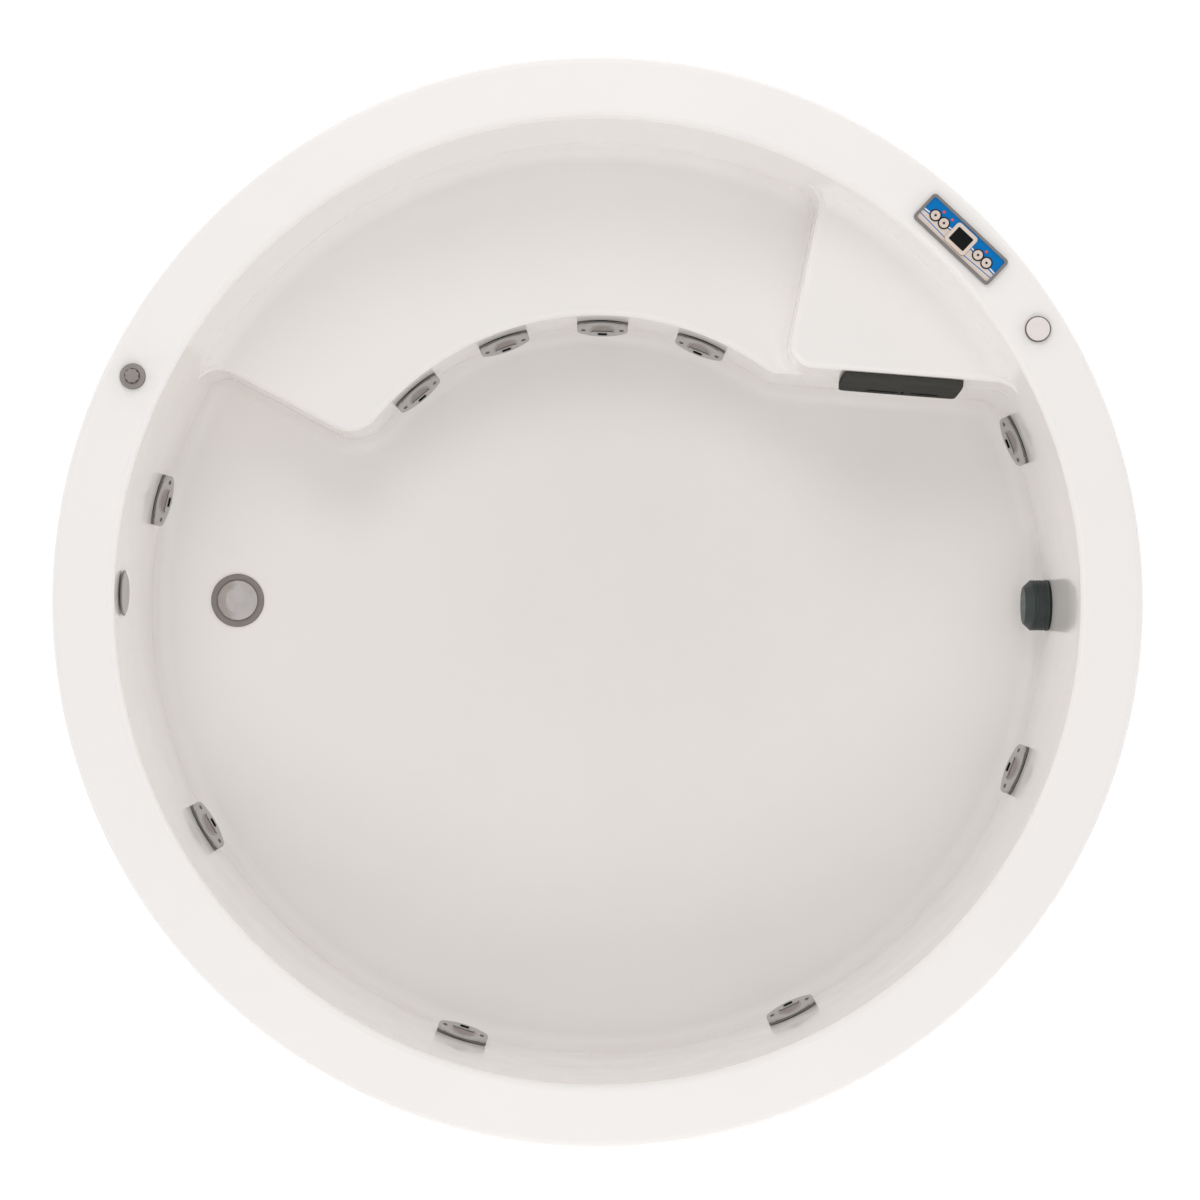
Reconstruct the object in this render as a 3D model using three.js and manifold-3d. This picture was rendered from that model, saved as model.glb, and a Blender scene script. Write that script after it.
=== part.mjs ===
// Round hot tub in millimetres: +Z up, origin on the ground under the middle of the tub.
// The bench lies towards +Y, the raised platform towards +X and +Y, and the front is -Y.
import * as THREE from 'three';
import { mergeVertices } from 'three/addons/utils/BufferGeometryUtils.js';
import Module from 'manifold-3d';

const wasm = await Module();
wasm.setup();

const degree = Math.PI / 180;
const quarter = Math.PI / 2;
const half_turn = Math.PI;
const full_turn = 2 * Math.PI;

// Fits and facets
const gap = 0.3;
const overrun = 20;
const merge_tolerance = 0.0001;
const round_steps = 40;
const arc_step = full_turn / round_steps;
const corner_tolerance = 1.5;

// Levels above the ground and plan sizes of the shell
const rim_radius = 900;
const rim_level = 660;
const platform_level = 510;
const seat_level = 390;
const floor_level = 200;
const rim_width = 102;
const wall_radius = rim_radius - rim_width;
const shell_wall = 7;
const wall_draft = 2.5 * degree;
const bench_end_draft = 1 * degree;
const lip_depth = 45;
const rim_edge_rounding = 12;
const rim_mouth_rounding = 14;
const step_rounding = 10;
const floor_cove = 30;
const seat_cove = 30;

// Lines of the steps, each by its distance from the middle of the tub and the way it faces
const bench_depth = 302;
const bench_front_radius = wall_radius - bench_depth;
const bench_end_line = { distance: 53, facing: 61.8 * degree };
const platform_front_set_in = 374;
const platform_side_set_in = 568;
const platform_front_line = { distance: wall_radius - platform_front_set_in, facing: 85.5 * degree };
const platform_side_line = { distance: wall_radius - platform_side_set_in, facing: -11.8 * degree };
const bench_nose_rounding = 60;
const bench_end_corner = 46;
const bench_bend_rounding = 60;
const front_corner = 45;
const platform_nose_rounding = 38;
const platform_side_corner = 44;

// The hollows that make the shell run a little past each other where they meet
const past_wall = 1;
const past_floor = 0.5;
const spread_share = 0.3;
const taper_share = -0.08;
const faint_cove_share = 0.02;
const spread_rise = 12;

// Jets
const jet_level_wall = 320;
const jet_level_bench = 298;
const wall_jet_count = 6;
const wall_jet_first = 166.5 * degree;
const wall_jet_pitch = 43 * degree;
const bench_jet_count = 4;
const bench_jet_first = 68.4 * degree;
const bench_jet_pitch = 20.6 * degree;
const jet_tilt = 20.5 * degree;
const jet_edge_lift = 1.5;
const jet_face_width = 88;
const jet_face_middle = 48;
const jet_face_end = 24;
const jet_face_thickness = 6;
const jet_dome_shares = [[1, 0.6], [0.95, 1]];
const jet_outline_steps = 4;
const nozzle_radius = 20.5;
const nozzle_proud = 1;
const nozzle_edge = 1;
const nozzle_rim = 2;
const nozzle_pocket_depth = 3;
const nozzle_pocket_steps = 4;
const nozzle_eye_width = 16;
const nozzle_eye_height = 9;
const nozzle_eye_drop = 12;
const nozzle_eye_depth = 5;
const nozzle_tail_radius = 14;
const nozzle_tail_length = 4;
const jet_body_radius = 23;
const jet_nut_radius = 32;
const jet_nut_thickness = 6;
const jet_segments = 10;
const jet_body_segments = 8;

// Board, frame and feet
const board_thickness = 18;
const board_clearance = 2;
const tube_side = 40;
const tube_wall = 3;
const rail_set_in = 480;
const rail_end_set_in = 280;
const cross_set_in = 190;
const foot_set_in = 100;
const rail_spacing = 2 * (rim_radius - rail_set_in);
const rail_length = 2 * (rim_radius - rail_end_set_in);
const cross_offset = rail_length / 2 - cross_set_in;
const foot_spacing = rail_length - 2 * foot_set_in;
const foot_pad_radius = 35;
const foot_pad_thickness = 10;
const foot_cone_height = 10;
const foot_stud_radius = 8;
const foot_nut_radius = 14;
const foot_nut_height = 13;
const foot_segments = 8;

// Apron panels behind the rim's lip
const apron_count = 4;
const apron_thickness = 4;
const apron_foot = 12;
const apron_tuck = 25;
const apron_return = 18;
const apron_joint = 2;

// Pipes behind the wall
const water_ring_set_out = 66;
const water_ring_radius = wall_radius + water_ring_set_out;
const water_pipe_radius = 16;
const water_end_turn = 7 * degree;
const manifold_set_out = 70;
const manifold_radius = bench_front_radius + manifold_set_out;
const manifold_end_turn = 5 * degree;
const branch_angle = 140 * degree;
const air_ring_set_out = 2;
const air_ring_radius = water_ring_radius + air_ring_set_out;
const air_ring_level = 362;
const air_pipe_radius = 8;
const air_bench_level = 341;
const air_branch_angle = 148 * degree;
const air_branch_turn = 3 * degree;
const air_bend = 30;
const air_wall_set_in = 28;
const air_bench_set_in = 20;
const air_drop_radius = 5;
const air_drop_clearance = 6;
const air_nipple_radius = 6;
const pipe_sides = 8;
const hose_sides = 6;
const bend_steps = 2;

// Suction strainer and its pipe
const suction_angle = 0;
const suction_level = 295;
const suction_flange_radius = 49;
const suction_flange_thickness = 3;
const suction_radius = 44;
const suction_length = 29;
const suction_cone_length = 12;
const suction_face_radius = 31;
const suction_groove_count = 3;
const suction_groove_depth = 5;
const suction_groove_width = 3.4;
const suction_rib_width = 4.6;
const suction_first_rib = 3;
const suction_skin = 4;
const suction_body_radius = 36;
const suction_body_length = 46;
const suction_pipe_radius = 25;
const suction_run_set_out = 40;
const suction_drop_set_in = 22;
const suction_lead_set_in = 48;
const suction_run_radius = wall_radius + suction_run_set_out;
const suction_drop_place = suction_run_radius - suction_drop_set_in;
const suction_lead_place = suction_run_radius - suction_lead_set_in;
const suction_run_level = 252;
const suction_run_start = 10 * degree;
const suction_run_end = 64 * degree;
const suction_run_bends = 5;
const suction_lead_angle = 78 * degree;
const suction_bend = 60;
const suction_segments = 12;

// Waste, overflow and trap
const waste_angle = 179 * degree;
const drain_set_in = 166;
const drain_radius_place = wall_radius - drain_set_in;
const drain_flange_radius = 46.5;
const drain_flange_thickness = 3;
const drain_seat_radius = 37;
const drain_seat_depth = 2;
const drain_bore_radius = 24;
const drain_neck_radius = 30;
const drain_neck_length = 24;
const drain_segments = 16;
const plug_radius = 35;
const plug_crown = 5;
const plug_edge = 2;
const plug_stem_radius = 4;
const plug_stem_length = 42;
const trap_radius = 42;
const trap_level = 70;
const trap_wall = 3;
const trap_outlet_length = 150;
const waste_spigot_radius = 20;
const waste_spigot_length = 60;
const spigot_segments = 32;
const overflow_level = 575;
const overflow_knob_radius = 38;
const overflow_knob_thickness = 13;
const overflow_knob_edge = 4;
const overflow_knob_dish = 3;
const overflow_spindle_radius = 9;
const overflow_body_radius = 30;
const overflow_body_length = 24;
const overflow_pipe_radius = 18;
const overflow_pipe_set_out = 24;
const overflow_pipe_place = wall_radius + overflow_pipe_set_out;
const overflow_run_level = 118;
const overflow_bend = 30;

// Cover on the platform's riser, and the box behind it
const cover_set_in = 280;
const cover_place = wall_radius - cover_set_in;
const cover_width = 205;
const cover_height = 180;
const cover_thickness = 12;
const cover_drop = 15;
const cover_corner = 14;
const cover_edge = 3;
const cover_skin = 4;
const cover_slots = [{ middle: -28, width: 57 }, { middle: 46, width: 50 }];
const cover_slot_height = 16;
const cover_slot_rise = 37;
const cover_latch_middle = 8;
const cover_latch_width = 5;
const cover_latch_height = 22;
const cover_opening_margin = 16;
const housing_wall = 4;
const housing_depth = 130;
const housing_flange = 14;

// Fittings on the rim, by angle round the tub and distance from the middle
const air_control_set_in = 49;
const air_control_place = { radius: rim_radius - air_control_set_in, angle: 154.3 * degree };
const control_flange_radius = 21.5;
const control_flange_thickness = 3;
const control_body_radius = 15;
const control_body_length = 42;
const control_spigot_radius = 8;
const control_spigot_length = 16;
const knob_skirt_radius = 18;
const knob_skirt_thickness = 5;
const knob_grip_radius = 11.5;
const knob_height = 15;
const knob_edge = 2;
const knob_spindle_radius = 5;
const knob_spindle_length = 10;
const knob_notch_width = 3;
const knob_notch_depth = 2;
const start_button_set_in = 47;
const start_button_place = { radius: rim_radius - start_button_set_in, angle: 31.6 * degree };
const start_cap_radius = 18;
const start_cap_height = 3.5;
const start_cap_edge = 1.2;
const start_ring_height = 6;
const start_ring_floor = 1.5;
const start_travel = 3;
const start_stem_radius = 8;
const start_well_depth = 8;
const rim_fitting_segments = 16;

// Control panel on the rim
const panel_set_in = 55;
const panel_place = { radius: rim_radius - panel_set_in, angle: 44.8 * degree };
const panel_turn = -43.3 * degree;
const panel_length = 168.5;
const panel_width = 55.5;
const panel_height = 7;
const panel_corner = 7;
const panel_edge = 2;
const panel_border = 5;
const panel_recess = 1.6;
const panel_body_length = 140;
const panel_body_width = 40;
const panel_body_depth = 32;
const display_length = 44.5;
const display_width = 39.5;
const display_rise = 2.6;
const display_depth = 2;
const display_corner = 6;
const display_edge = 1;
const display_glass_length = 32.5;
const display_glass_width = 26.5;
const display_glass_depth = 0.8;
const key_radius = 8;
const key_rise = 2.4;
const key_edge = 0.8;
const key_travel = 1.5;
const key_well_depth = 4;
const key_dish_radius = 5;
const key_places = [-57.5, -38.5, 38.5, 57.5];
const key_segments = 10;

// Pump and control box on the board, under the bench
const pump_angle = 112 * degree;
const pump_set_in = 86;
const pump_place = wall_radius - pump_set_in;
const pump_axis_height = 84;
const volute_radius = 72;
const volute_length = 62;
const volute_step = 10;
const volute_sleeve = 4;
const pump_port_radius = 28;
const pump_port_length = 26;
const motor_radius = 66;
const motor_length = 190;
const motor_fin_count = 12;
const motor_fin_height = 5;
const motor_fin_shares = [0, 0.3, 0.4, 0.9];
const motor_foot_length = 120;
const motor_end_radius = 58;
const motor_end_length = 30;
const pump_foot_width = 110;
const pump_foot_thickness = 8;
const pump_web_width = 60;
const control_box_angle = 74 * degree;
const control_box_size = { length: 190, width: 110, height: 80 };
const control_box_clearance = 26;
const control_box_place = suction_lead_place - suction_pipe_radius - control_box_clearance
  - control_box_size.width / 2;
const control_box_corner = 12;
const control_gland_radius = 9;
const control_gland_length = 16;

// Sizes worked out from the ones above
const tan_draft = Math.tan(wall_draft);
const wall_at = (level) => wall_radius - (rim_level - level) * tan_draft;
const bench_front_at = (level) => bench_front_radius - (seat_level - level) * tan_draft;
const front_distance_at = (level) => platform_front_line.distance - (platform_level - level) * tan_draft;
const board_top = floor_level - shell_wall - gap;
const board_foot = board_top - board_thickness;
const tube_top = board_foot - gap;
const tube_foot = tube_top - tube_side;
const apron_radius = rim_radius - shell_wall - gap;
const apron_inside = apron_radius - apron_thickness;
const apron_top = rim_level - lip_depth + apron_tuck;
const facet_drop = (radius) => radius * (1 - Math.cos(arc_step / 2));
const turning_bore = (radius, segments) => (radius + gap) / Math.cos(Math.PI / segments);
const sagitta = (radius, half_width) => radius - Math.sqrt(radius ** 2 - half_width ** 2);

// Finishes
const finish = (colour, roughness, metalness = 0) =>
  new THREE.MeshStandardMaterial({ color: colour, roughness, metalness });
const acrylic = finish(0xf2eeea, 0.12);
const satin_metal = finish(0xa39b9a, 0.32, 0.7);
const chrome = finish(0xc4c4c4, 0.1, 1);
const dark_plastic = finish(0x3a3f3f, 0.5);
const cover_plastic = finish(0x4e4d4a, 0.5);
const black_plastic = finish(0x151515, 0.4);
const grey_plastic = finish(0x7f7c77, 0.45);
const button_plastic = finish(0xe2d3cc, 0.35);
const key_plastic = finish(0xcdb9ac, 0.4);
const display_plastic = finish(0x0d0e0f, 0.15);
const pipe_plastic = finish(0xe6e6e2, 0.4);
const hose_plastic = finish(0xbfc4c6, 0.35);
const board_resin = finish(0xc9b48c, 0.8);
const zinc_steel = finish(0x9a9da0, 0.45, 0.8);
const rubber_black = finish(0x1c1c1c, 0.8);
const motor_paint = finish(0x2c3e52, 0.5);

// Outlines, turned and lofted bodies

// How many flats a small rounding is made of
const steps_round = (rounding, turn) =>
  Math.max(2, Math.ceil(Math.abs(turn) / (2 * Math.acos(Math.max(0, 1 - corner_tolerance / rounding)))));

// Rounds the corners of a line of corners [x, y, rounding]
function rounded(corners, closed = false) {
  const points = [];
  corners.forEach(([x, y, rounding = 0], index) => {
    const here = new THREE.Vector2(x, y);
    const before = corners[index - 1] ?? (closed ? corners.at(-1) : null);
    const after = corners[index + 1] ?? (closed ? corners[0] : null);
    if (!rounding || !before || !after) {
      points.push(here);
      return;
    }
    const back = new THREE.Vector2(before[0] - x, before[1] - y).normalize();
    const ahead = new THREE.Vector2(after[0] - x, after[1] - y).normalize();
    const half = Math.acos(back.dot(ahead)) / 2;
    const centre = back.clone().add(ahead).setLength(rounding / Math.sin(half)).add(here);
    const start = back.clone().multiplyScalar(rounding / Math.tan(half)).add(here).sub(centre);
    const turn = -Math.sign(back.cross(ahead)) * (half_turn - 2 * half);
    const steps = steps_round(rounding, turn);
    for (let step = 0; step <= steps; step += 1) {
      points.push(start.clone().rotateAround(new THREE.Vector2(), turn * step / steps).add(centre));
    }
  });
  return points;
}

// Signed volume of a mesh of triangles
function volume_of(geometry) {
  const place = geometry.getAttribute('position');
  const index = geometry.getIndex();
  const corner = [new THREE.Vector3(), new THREE.Vector3(), new THREE.Vector3()];
  let sum = 0;
  for (let at = 0; at < index.count; at += 3) {
    corner.forEach((point, side) => point.fromBufferAttribute(place, index.getX(at + side)));
    sum += corner[0].dot(corner[1].clone().cross(corner[2]));
  }
  return sum;
}

// Joins shared corners, drops triangles with no area, and turns the faces outwards
function closed(geometry) {
  geometry.deleteAttribute('normal');
  geometry.deleteAttribute('uv');
  const merged = mergeVertices(geometry, merge_tolerance);
  const index = merged.getIndex();
  const kept = [];
  for (let at = 0; at < index.count; at += 3) {
    const [a, b, c] = [index.getX(at), index.getX(at + 1), index.getX(at + 2)];
    if (a !== b && b !== c && c !== a) kept.push([a, b, c]);
  }
  merged.setIndex(kept.flat());
  if (volume_of(merged) < 0) merged.setIndex(kept.map(([a, b, c]) => [a, c, b]).flat());
  return merged;
}

function solid(geometry) {
  const shape = closed(geometry);
  const vertices = Float32Array.from(shape.getAttribute('position').array);
  const triangles = Uint32Array.from(shape.getIndex().array);
  return new wasm.Manifold(new wasm.Mesh({ numProp: 3, vertProperties: vertices, triVerts: triangles }));
}

function geometry_of(body) {
  const mesh = body.getMesh();
  const geometry = new THREE.BufferGeometry();
  const places = new Float32Array(mesh.numVert * 3);
  for (let at = 0; at < mesh.numVert; at += 1) {
    for (let axis = 0; axis < 3; axis += 1) {
      places[at * 3 + axis] = mesh.vertProperties[at * mesh.numProp + axis];
    }
  }
  geometry.setAttribute('position', new THREE.BufferAttribute(places, 3));
  geometry.setIndex(Array.from(mesh.triVerts));
  return geometry;
}

const joined = (...bodies) => bodies.reduce((whole, body) => whole.add(body));
const cut = (body, tools) => tools.reduce((whole, tool) => whole.subtract(tool), body);

// A body turned about +Z from a profile of [radius, height, rounding]
function turned(profile, segments, closes = false) {
  const points = rounded(profile, closes);
  if (closes) points.push(points[0].clone());
  return new THREE.LatheGeometry(points, segments).rotateX(quarter);
}

// A round bar along +Z
const bar = (radius, from, to, segments) => turned([[0, from], [radius, from], [radius, to], [0, to]], segments);

// A flat outline of corners [x, y, rounding] extruded along +Z
function plate(corners, from, to, holes = []) {
  const shape = new THREE.Shape(rounded(corners, true));
  holes.forEach((hole) => shape.holes.push(new THREE.Path(rounded(hole, true))));
  const depth = to - from;
  return new THREE.ExtrudeGeometry(shape, { depth, bevelEnabled: false, steps: 1 }).translate(0, 0, from);
}

const rectangle = (length, width, rounding = 0, x = 0, y = 0) => [
  [x - length / 2, y - width / 2, rounding],
  [x + length / 2, y - width / 2, rounding],
  [x + length / 2, y + width / 2, rounding],
  [x - length / 2, y + width / 2, rounding],
];

// Joins rings of equal point counts, bottom to top, with both ends closed
function lofted(rings) {
  const count = rings[0].length;
  const places = rings.flat().flatMap((point) => [point.x, point.y, point.z]);
  const faces = [];
  for (let ring = 0; ring < rings.length - 1; ring += 1) {
    for (let at = 0; at < count; at += 1) {
      const [a, b] = [ring * count + at, ring * count + (at + 1) % count];
      faces.push([a, b, b + count], [a, b + count, a + count]);
    }
  }
  const cap = (ring, up) => {
    const contour = rings[ring].map((point) => new THREE.Vector2(point.x, point.y));
    THREE.ShapeUtils.triangulateShape(contour, []).forEach(([a, b, c]) => {
      const area = contour[b].clone().sub(contour[a]).cross(contour[c].clone().sub(contour[a]));
      const face = (area > 0) === up ? [a, b, c] : [a, c, b];
      faces.push(face.map((corner) => corner + ring * count));
    });
  };
  cap(0, false);
  cap(rings.length - 1, true);
  const geometry = new THREE.BufferGeometry();
  geometry.setAttribute('position', new THREE.Float32BufferAttribute(places, 3));
  geometry.setIndex(faces.flat());
  return geometry;
}

// A stepped loft of one outline: each step is [size share, height]
function stepped(outline, steps) {
  return lofted(steps.map(([share, height]) =>
    outline.map((point) => new THREE.Vector3(point.x * share, point.y * share, height))));
}

// A plate whose upper edge is bevelled, drawn in towards the middles of its rounded corners
function bevelled_plate(length, width, corner, from, to, edge) {
  const outline = rounded(rectangle(length, width, corner), true);
  const ring = (inset, height) => outline.map((point) => {
    const centre = new THREE.Vector2(Math.sign(point.x) * (length / 2 - corner),
      Math.sign(point.y) * (width / 2 - corner));
    const drawn = point.clone().sub(centre).multiplyScalar((corner - inset) / corner).add(centre);
    return new THREE.Vector3(drawn.x, drawn.y, height);
  });
  return lofted([ring(0, from), ring(0, to - edge), ring(edge, to)]);
}

// A tube along a curve
function tube(curve, radius, steps, sides = pipe_sides) {
  const section = new THREE.Shape();
  section.absarc(0, 0, radius, 0, full_turn);
  const outline = new THREE.Shape(section.getSpacedPoints(sides).slice(0, sides));
  return new THREE.ExtrudeGeometry(outline, { extrudePath: curve, steps, curveSegments: 1 });
}

class RoundRun extends THREE.Curve {
  constructor(radius, level, from, to) {
    super();
    Object.assign(this, { radius, level, from, to });
  }

  getPoint(share, target = new THREE.Vector3()) {
    return target.copy(polar(this.radius, this.from + (this.to - this.from) * share, this.level));
  }
}

// Straight lengths from corner to corner, joined by round bends
class BentRun extends THREE.Curve {
  constructor(corners, bend) {
    super();
    this.nodes = corners.flatMap((corner, index) => {
      const before = corners[index - 1];
      const after = corners[index + 1];
      if (!before) return [{ place: corner, way: after.clone().sub(corner).normalize() }];
      if (!after) return [{ place: corner, way: corner.clone().sub(before).normalize() }];
      const back = before.clone().sub(corner);
      const ahead = after.clone().sub(corner);
      const room = Math.min(back.length(), ahead.length()) / 2;
      back.normalize();
      ahead.normalize();
      const turn = half_turn - back.angleTo(ahead);
      const setback = Math.min(bend * Math.tan(turn / 2), room);
      const centre = back.clone().add(ahead).setLength(setback / Math.sin(turn / 2)).add(corner);
      const start = back.clone().multiplyScalar(setback).add(corner).sub(centre);
      const way = back.clone().negate();
      const axis = way.clone().cross(ahead).normalize();
      return Array.from({ length: bend_steps + 1 }, (_, step) => {
        const turned_by = turn * step / bend_steps;
        return {
          place: start.clone().applyAxisAngle(axis, turned_by).add(centre),
          way: way.clone().applyAxisAngle(axis, turned_by),
        };
      });
    });
  }

  node_at(share) {
    return this.nodes[Math.round(share * (this.nodes.length - 1))];
  }

  getPointAt(share, target = new THREE.Vector3()) {
    return target.copy(this.node_at(share).place);
  }

  getTangentAt(share, target = new THREE.Vector3()) {
    return target.copy(this.node_at(share).way);
  }
}

const round_pipe = (radius, level, from, to, thickness, sides = pipe_sides) =>
  tube(new RoundRun(radius, level, from, to), thickness, Math.ceil((to - from) / (1.5 * arc_step)), sides);

function bent_pipe(corners, bend, thickness, sides = pipe_sides) {
  const run = new BentRun(corners, bend);
  return tube(run, thickness, run.nodes.length - 1, sides);
}

const straight_pipe = (from, to, thickness, sides = pipe_sides) =>
  tube(new THREE.LineCurve3(from, to), thickness, 1, sides);

// Places in the tub

const polar = (radius, angle, level) =>
  new THREE.Vector3(radius * Math.cos(angle), radius * Math.sin(angle), level);

// A place whose +Z looks along a direction and whose +Y is as near as it can be to a second one
function facing(point, look, up) {
  const z = look.clone().normalize();
  const x = up.clone().cross(z).normalize();
  const y = z.clone().cross(x);
  return new THREE.Matrix4().makeBasis(x, y, z).setPosition(point);
}

const upright = new THREE.Vector3(0, 0, 1);

// On the drafted round wall, looking into the tub
function wall_place(radius, angle, level, draft = wall_draft) {
  const look = polar(-Math.cos(draft), angle, Math.sin(draft));
  return facing(polar(radius, angle, level), look, upright);
}

// Flat on the rim, turned about the vertical
function rim_place(place, turn) {
  const point = polar(place.radius, place.angle, rim_level);
  return facing(point, upright, polar(1, turn + quarter, 0));
}

const moved = (geometry, place) => geometry.applyMatrix4(place);

// The shell: three hollows let into one round bowl

// The point of a line that lies at a distance from the middle of the tub
function line_at(distance, facing_angle, radius, side) {
  const along = side * Math.sqrt(radius ** 2 - distance ** 2);
  return polar(distance, facing_angle, 0).add(polar(along, facing_angle + quarter, 0));
}

// The point where two lines cross
function crossing(first, second) {
  const turn = Math.sin(second.facing - first.facing);
  const x = (first.distance * Math.sin(second.facing) - second.distance * Math.sin(first.facing)) / turn;
  const y = (second.distance * Math.cos(first.facing) - first.distance * Math.cos(second.facing)) / turn;
  return new THREE.Vector3(x, y, 0);
}

const angle_of = (point) => Math.atan2(point.y, point.x);
const past = (angle, start) => angle + Math.ceil((start - angle) / full_turn) * full_turn;

// The angles of an arc: those round the tub keep in step with the facets of the round wall
function arc_angles(centre, radius, from, to) {
  const steps = steps_round(radius, to - from);
  if (centre.length() > 0) {
    return Array.from({ length: steps + 1 }, (_, step) => from + (to - from) * step / steps);
  }
  const first = Math.floor(from / arc_step) + 1;
  const last = Math.ceil(to / arc_step) - 1;
  return [from, ...Array.from({ length: last - first + 1 }, (_, step) => (first + step) * arc_step), to];
}

// Part of an outline: an arc whose points know the way into the material and how the wall there is shaped
function arc(centre, radius, from, to, way, look, next_look = look) {
  return arc_angles(centre, radius, from, to).map((angle) => {
    const share = (angle - from) / (to - from);
    const mix = (name) => look[name] + (next_look[name] - look[name]) * share;
    return {
      place: polar(radius, angle, 0).add(centre),
      out: polar(way, angle, 0),
      draft: mix('draft'),
      lip: mix('lip'),
      cove: mix('cove'),
      spread: mix('spread'),
    };
  });
}

const middle = new THREE.Vector3();
const wall_look = { draft: wall_draft, lip: 0, cove: 1, spread: 0 };
const bench_look = { draft: wall_draft, lip: 1, cove: 1, spread: spread_share };
const bench_end_look = { draft: bench_end_draft, lip: 1, cove: 1, spread: spread_share };
const front_look = { draft: wall_draft, lip: 0, cove: 1, spread: taper_share };
const platform_front_look = { draft: wall_draft, lip: 1, cove: faint_cove_share, spread: spread_share };
const platform_side_look = { draft: wall_draft, lip: 1, cove: 1, spread: spread_share };

// The deep hollow in front of the bench, at the level of the seat
function footwell_outline() {
  const wall = wall_at(seat_level) + past_wall;
  const front = { distance: front_distance_at(seat_level), facing: platform_front_line.facing };
  const bench_end = bench_end_line;
  const corner = line_at(front.distance - front_corner, front.facing, wall - front_corner, -1);
  const bend = line_at(front.distance + bench_bend_rounding, front.facing,
    bench_front_radius + bench_bend_rounding, -1);
  const nose = line_at(bench_end.distance + bench_nose_rounding, bench_end.facing,
    bench_front_radius + bench_nose_rounding, 1);
  const end = line_at(bench_end.distance - bench_end_corner, bench_end.facing, wall - bench_end_corner, 1);
  return [
    ...arc(middle, wall, angle_of(end), past(angle_of(corner), angle_of(end)), 1, wall_look),
    ...arc(corner, front_corner, angle_of(corner), front.facing, 1, wall_look, front_look).slice(1),
    ...arc(bend, bench_bend_rounding, front.facing + half_turn, angle_of(bend) + half_turn, -1,
      front_look, bench_look),
    ...arc(middle, bench_front_radius, angle_of(bend), angle_of(nose), 1, bench_look).slice(1, -1),
    ...arc(nose, bench_nose_rounding, angle_of(nose) + half_turn, bench_end.facing + half_turn, -1,
      bench_look, bench_end_look),
    ...arc(end, bench_end_corner, bench_end.facing, angle_of(end), 1, bench_end_look, wall_look).slice(0, -1),
  ];
}

// The hollow above the seat, all but the platform, at the level of the platform
function seat_outline() {
  const wall = wall_at(platform_level) + past_wall;
  const front = platform_front_line;
  const side = platform_side_line;
  const front_rounding = front_corner + (platform_level - seat_level) * tan_draft;
  const corner = line_at(front.distance - front_rounding, front.facing, wall - front_rounding, -1);
  const nose = crossing(
    { distance: front.distance + platform_nose_rounding, facing: front.facing },
    { distance: side.distance + platform_nose_rounding, facing: side.facing },
  );
  const back = line_at(side.distance - platform_side_corner, side.facing, wall - platform_side_corner, 1);
  return [
    ...arc(middle, wall, angle_of(back), past(angle_of(corner), angle_of(back)), 1, wall_look),
    ...arc(corner, front_rounding, angle_of(corner), front.facing, 1, wall_look, platform_front_look).slice(1),
    ...arc(nose, platform_nose_rounding, front.facing + half_turn, side.facing + half_turn, -1,
      platform_front_look, platform_side_look),
    ...arc(back, platform_side_corner, side.facing, angle_of(back), 1, platform_side_look, wall_look)
      .slice(0, -1),
  ];
}

// A hollow lofted through levels: coved foot, drafted wall, rounded lip, then spread above the lip
function hollow(outline, foot, lip_level, grow) {
  const cove = floor_cove + grow;
  const lip = step_rounding - grow;
  const rise = seat_cove + grow + spread_rise;
  const cove_shares = grow > 0 ? [0, 1 / 2, 1] : [0, 1 / 3, 2 / 3, 1];
  const lip_shares = grow > 0 ? [0, 1] : [0, 1 / 2, 1];
  const levels = [
    ...cove_shares.map((share) => ({
      level: foot + cove * (1 - Math.cos(share * quarter)),
      drawn_in: cove * (1 - Math.sin(share * quarter)),
      let_out: 0,
      risen: 0,
    })),
    ...lip_shares.map((share) => ({
      level: lip_level - grow - lip * (1 - Math.sin(share * quarter)),
      drawn_in: 0,
      let_out: lip * (1 - Math.cos(share * quarter)),
      risen: 0,
    })),
    { level: lip_level - grow + rise, drawn_in: 0, let_out: lip, risen: rise },
  ];
  return lofted(levels.map(({ level, drawn_in, let_out, risen }) => outline.map((point) => {
    const drafted = (lip_level - level) * Math.tan(point.draft);
    const shift = grow - drafted - drawn_in * point.cove + let_out * point.lip + risen * point.spread;
    return point.out.clone().multiplyScalar(shift).add(point.place).setZ(level);
  })));
}

// Everything above the platform, a full round with a coved foot
function upper_hollow(grow) {
  const foot = platform_level - grow;
  const side = wall_at(platform_level) + past_wall + grow;
  const clear_level = rim_level - lip_depth - overrun;
  const side_top = wall_at(clear_level) + past_wall + grow;
  const top = rim_level + overrun;
  const outside = rim_radius + overrun;
  return turned([[0, foot], [side, foot, seat_cove + grow], [side_top, clear_level], [outside, clear_level],
    [outside, top], [0, top]], round_steps);
}

function stepped_hollow(grow) {
  const footwell = hollow(footwell_outline(), floor_level - grow - past_floor, seat_level, grow);
  const seat = hollow(seat_outline(), seat_level - grow, platform_level, grow);
  return joined(solid(footwell), solid(seat), solid(upper_hollow(grow)));
}

function bowl_inside() {
  const mouth_level = rim_level + gap;
  const mouth = wall_radius + rim_mouth_rounding + overrun;
  return turned([[0, floor_level], [wall_at(floor_level), floor_level, floor_cove],
    [wall_at(mouth_level), mouth_level, rim_mouth_rounding], [mouth, mouth_level],
    [mouth, rim_level + overrun], [0, rim_level + overrun]], round_steps);
}

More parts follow.
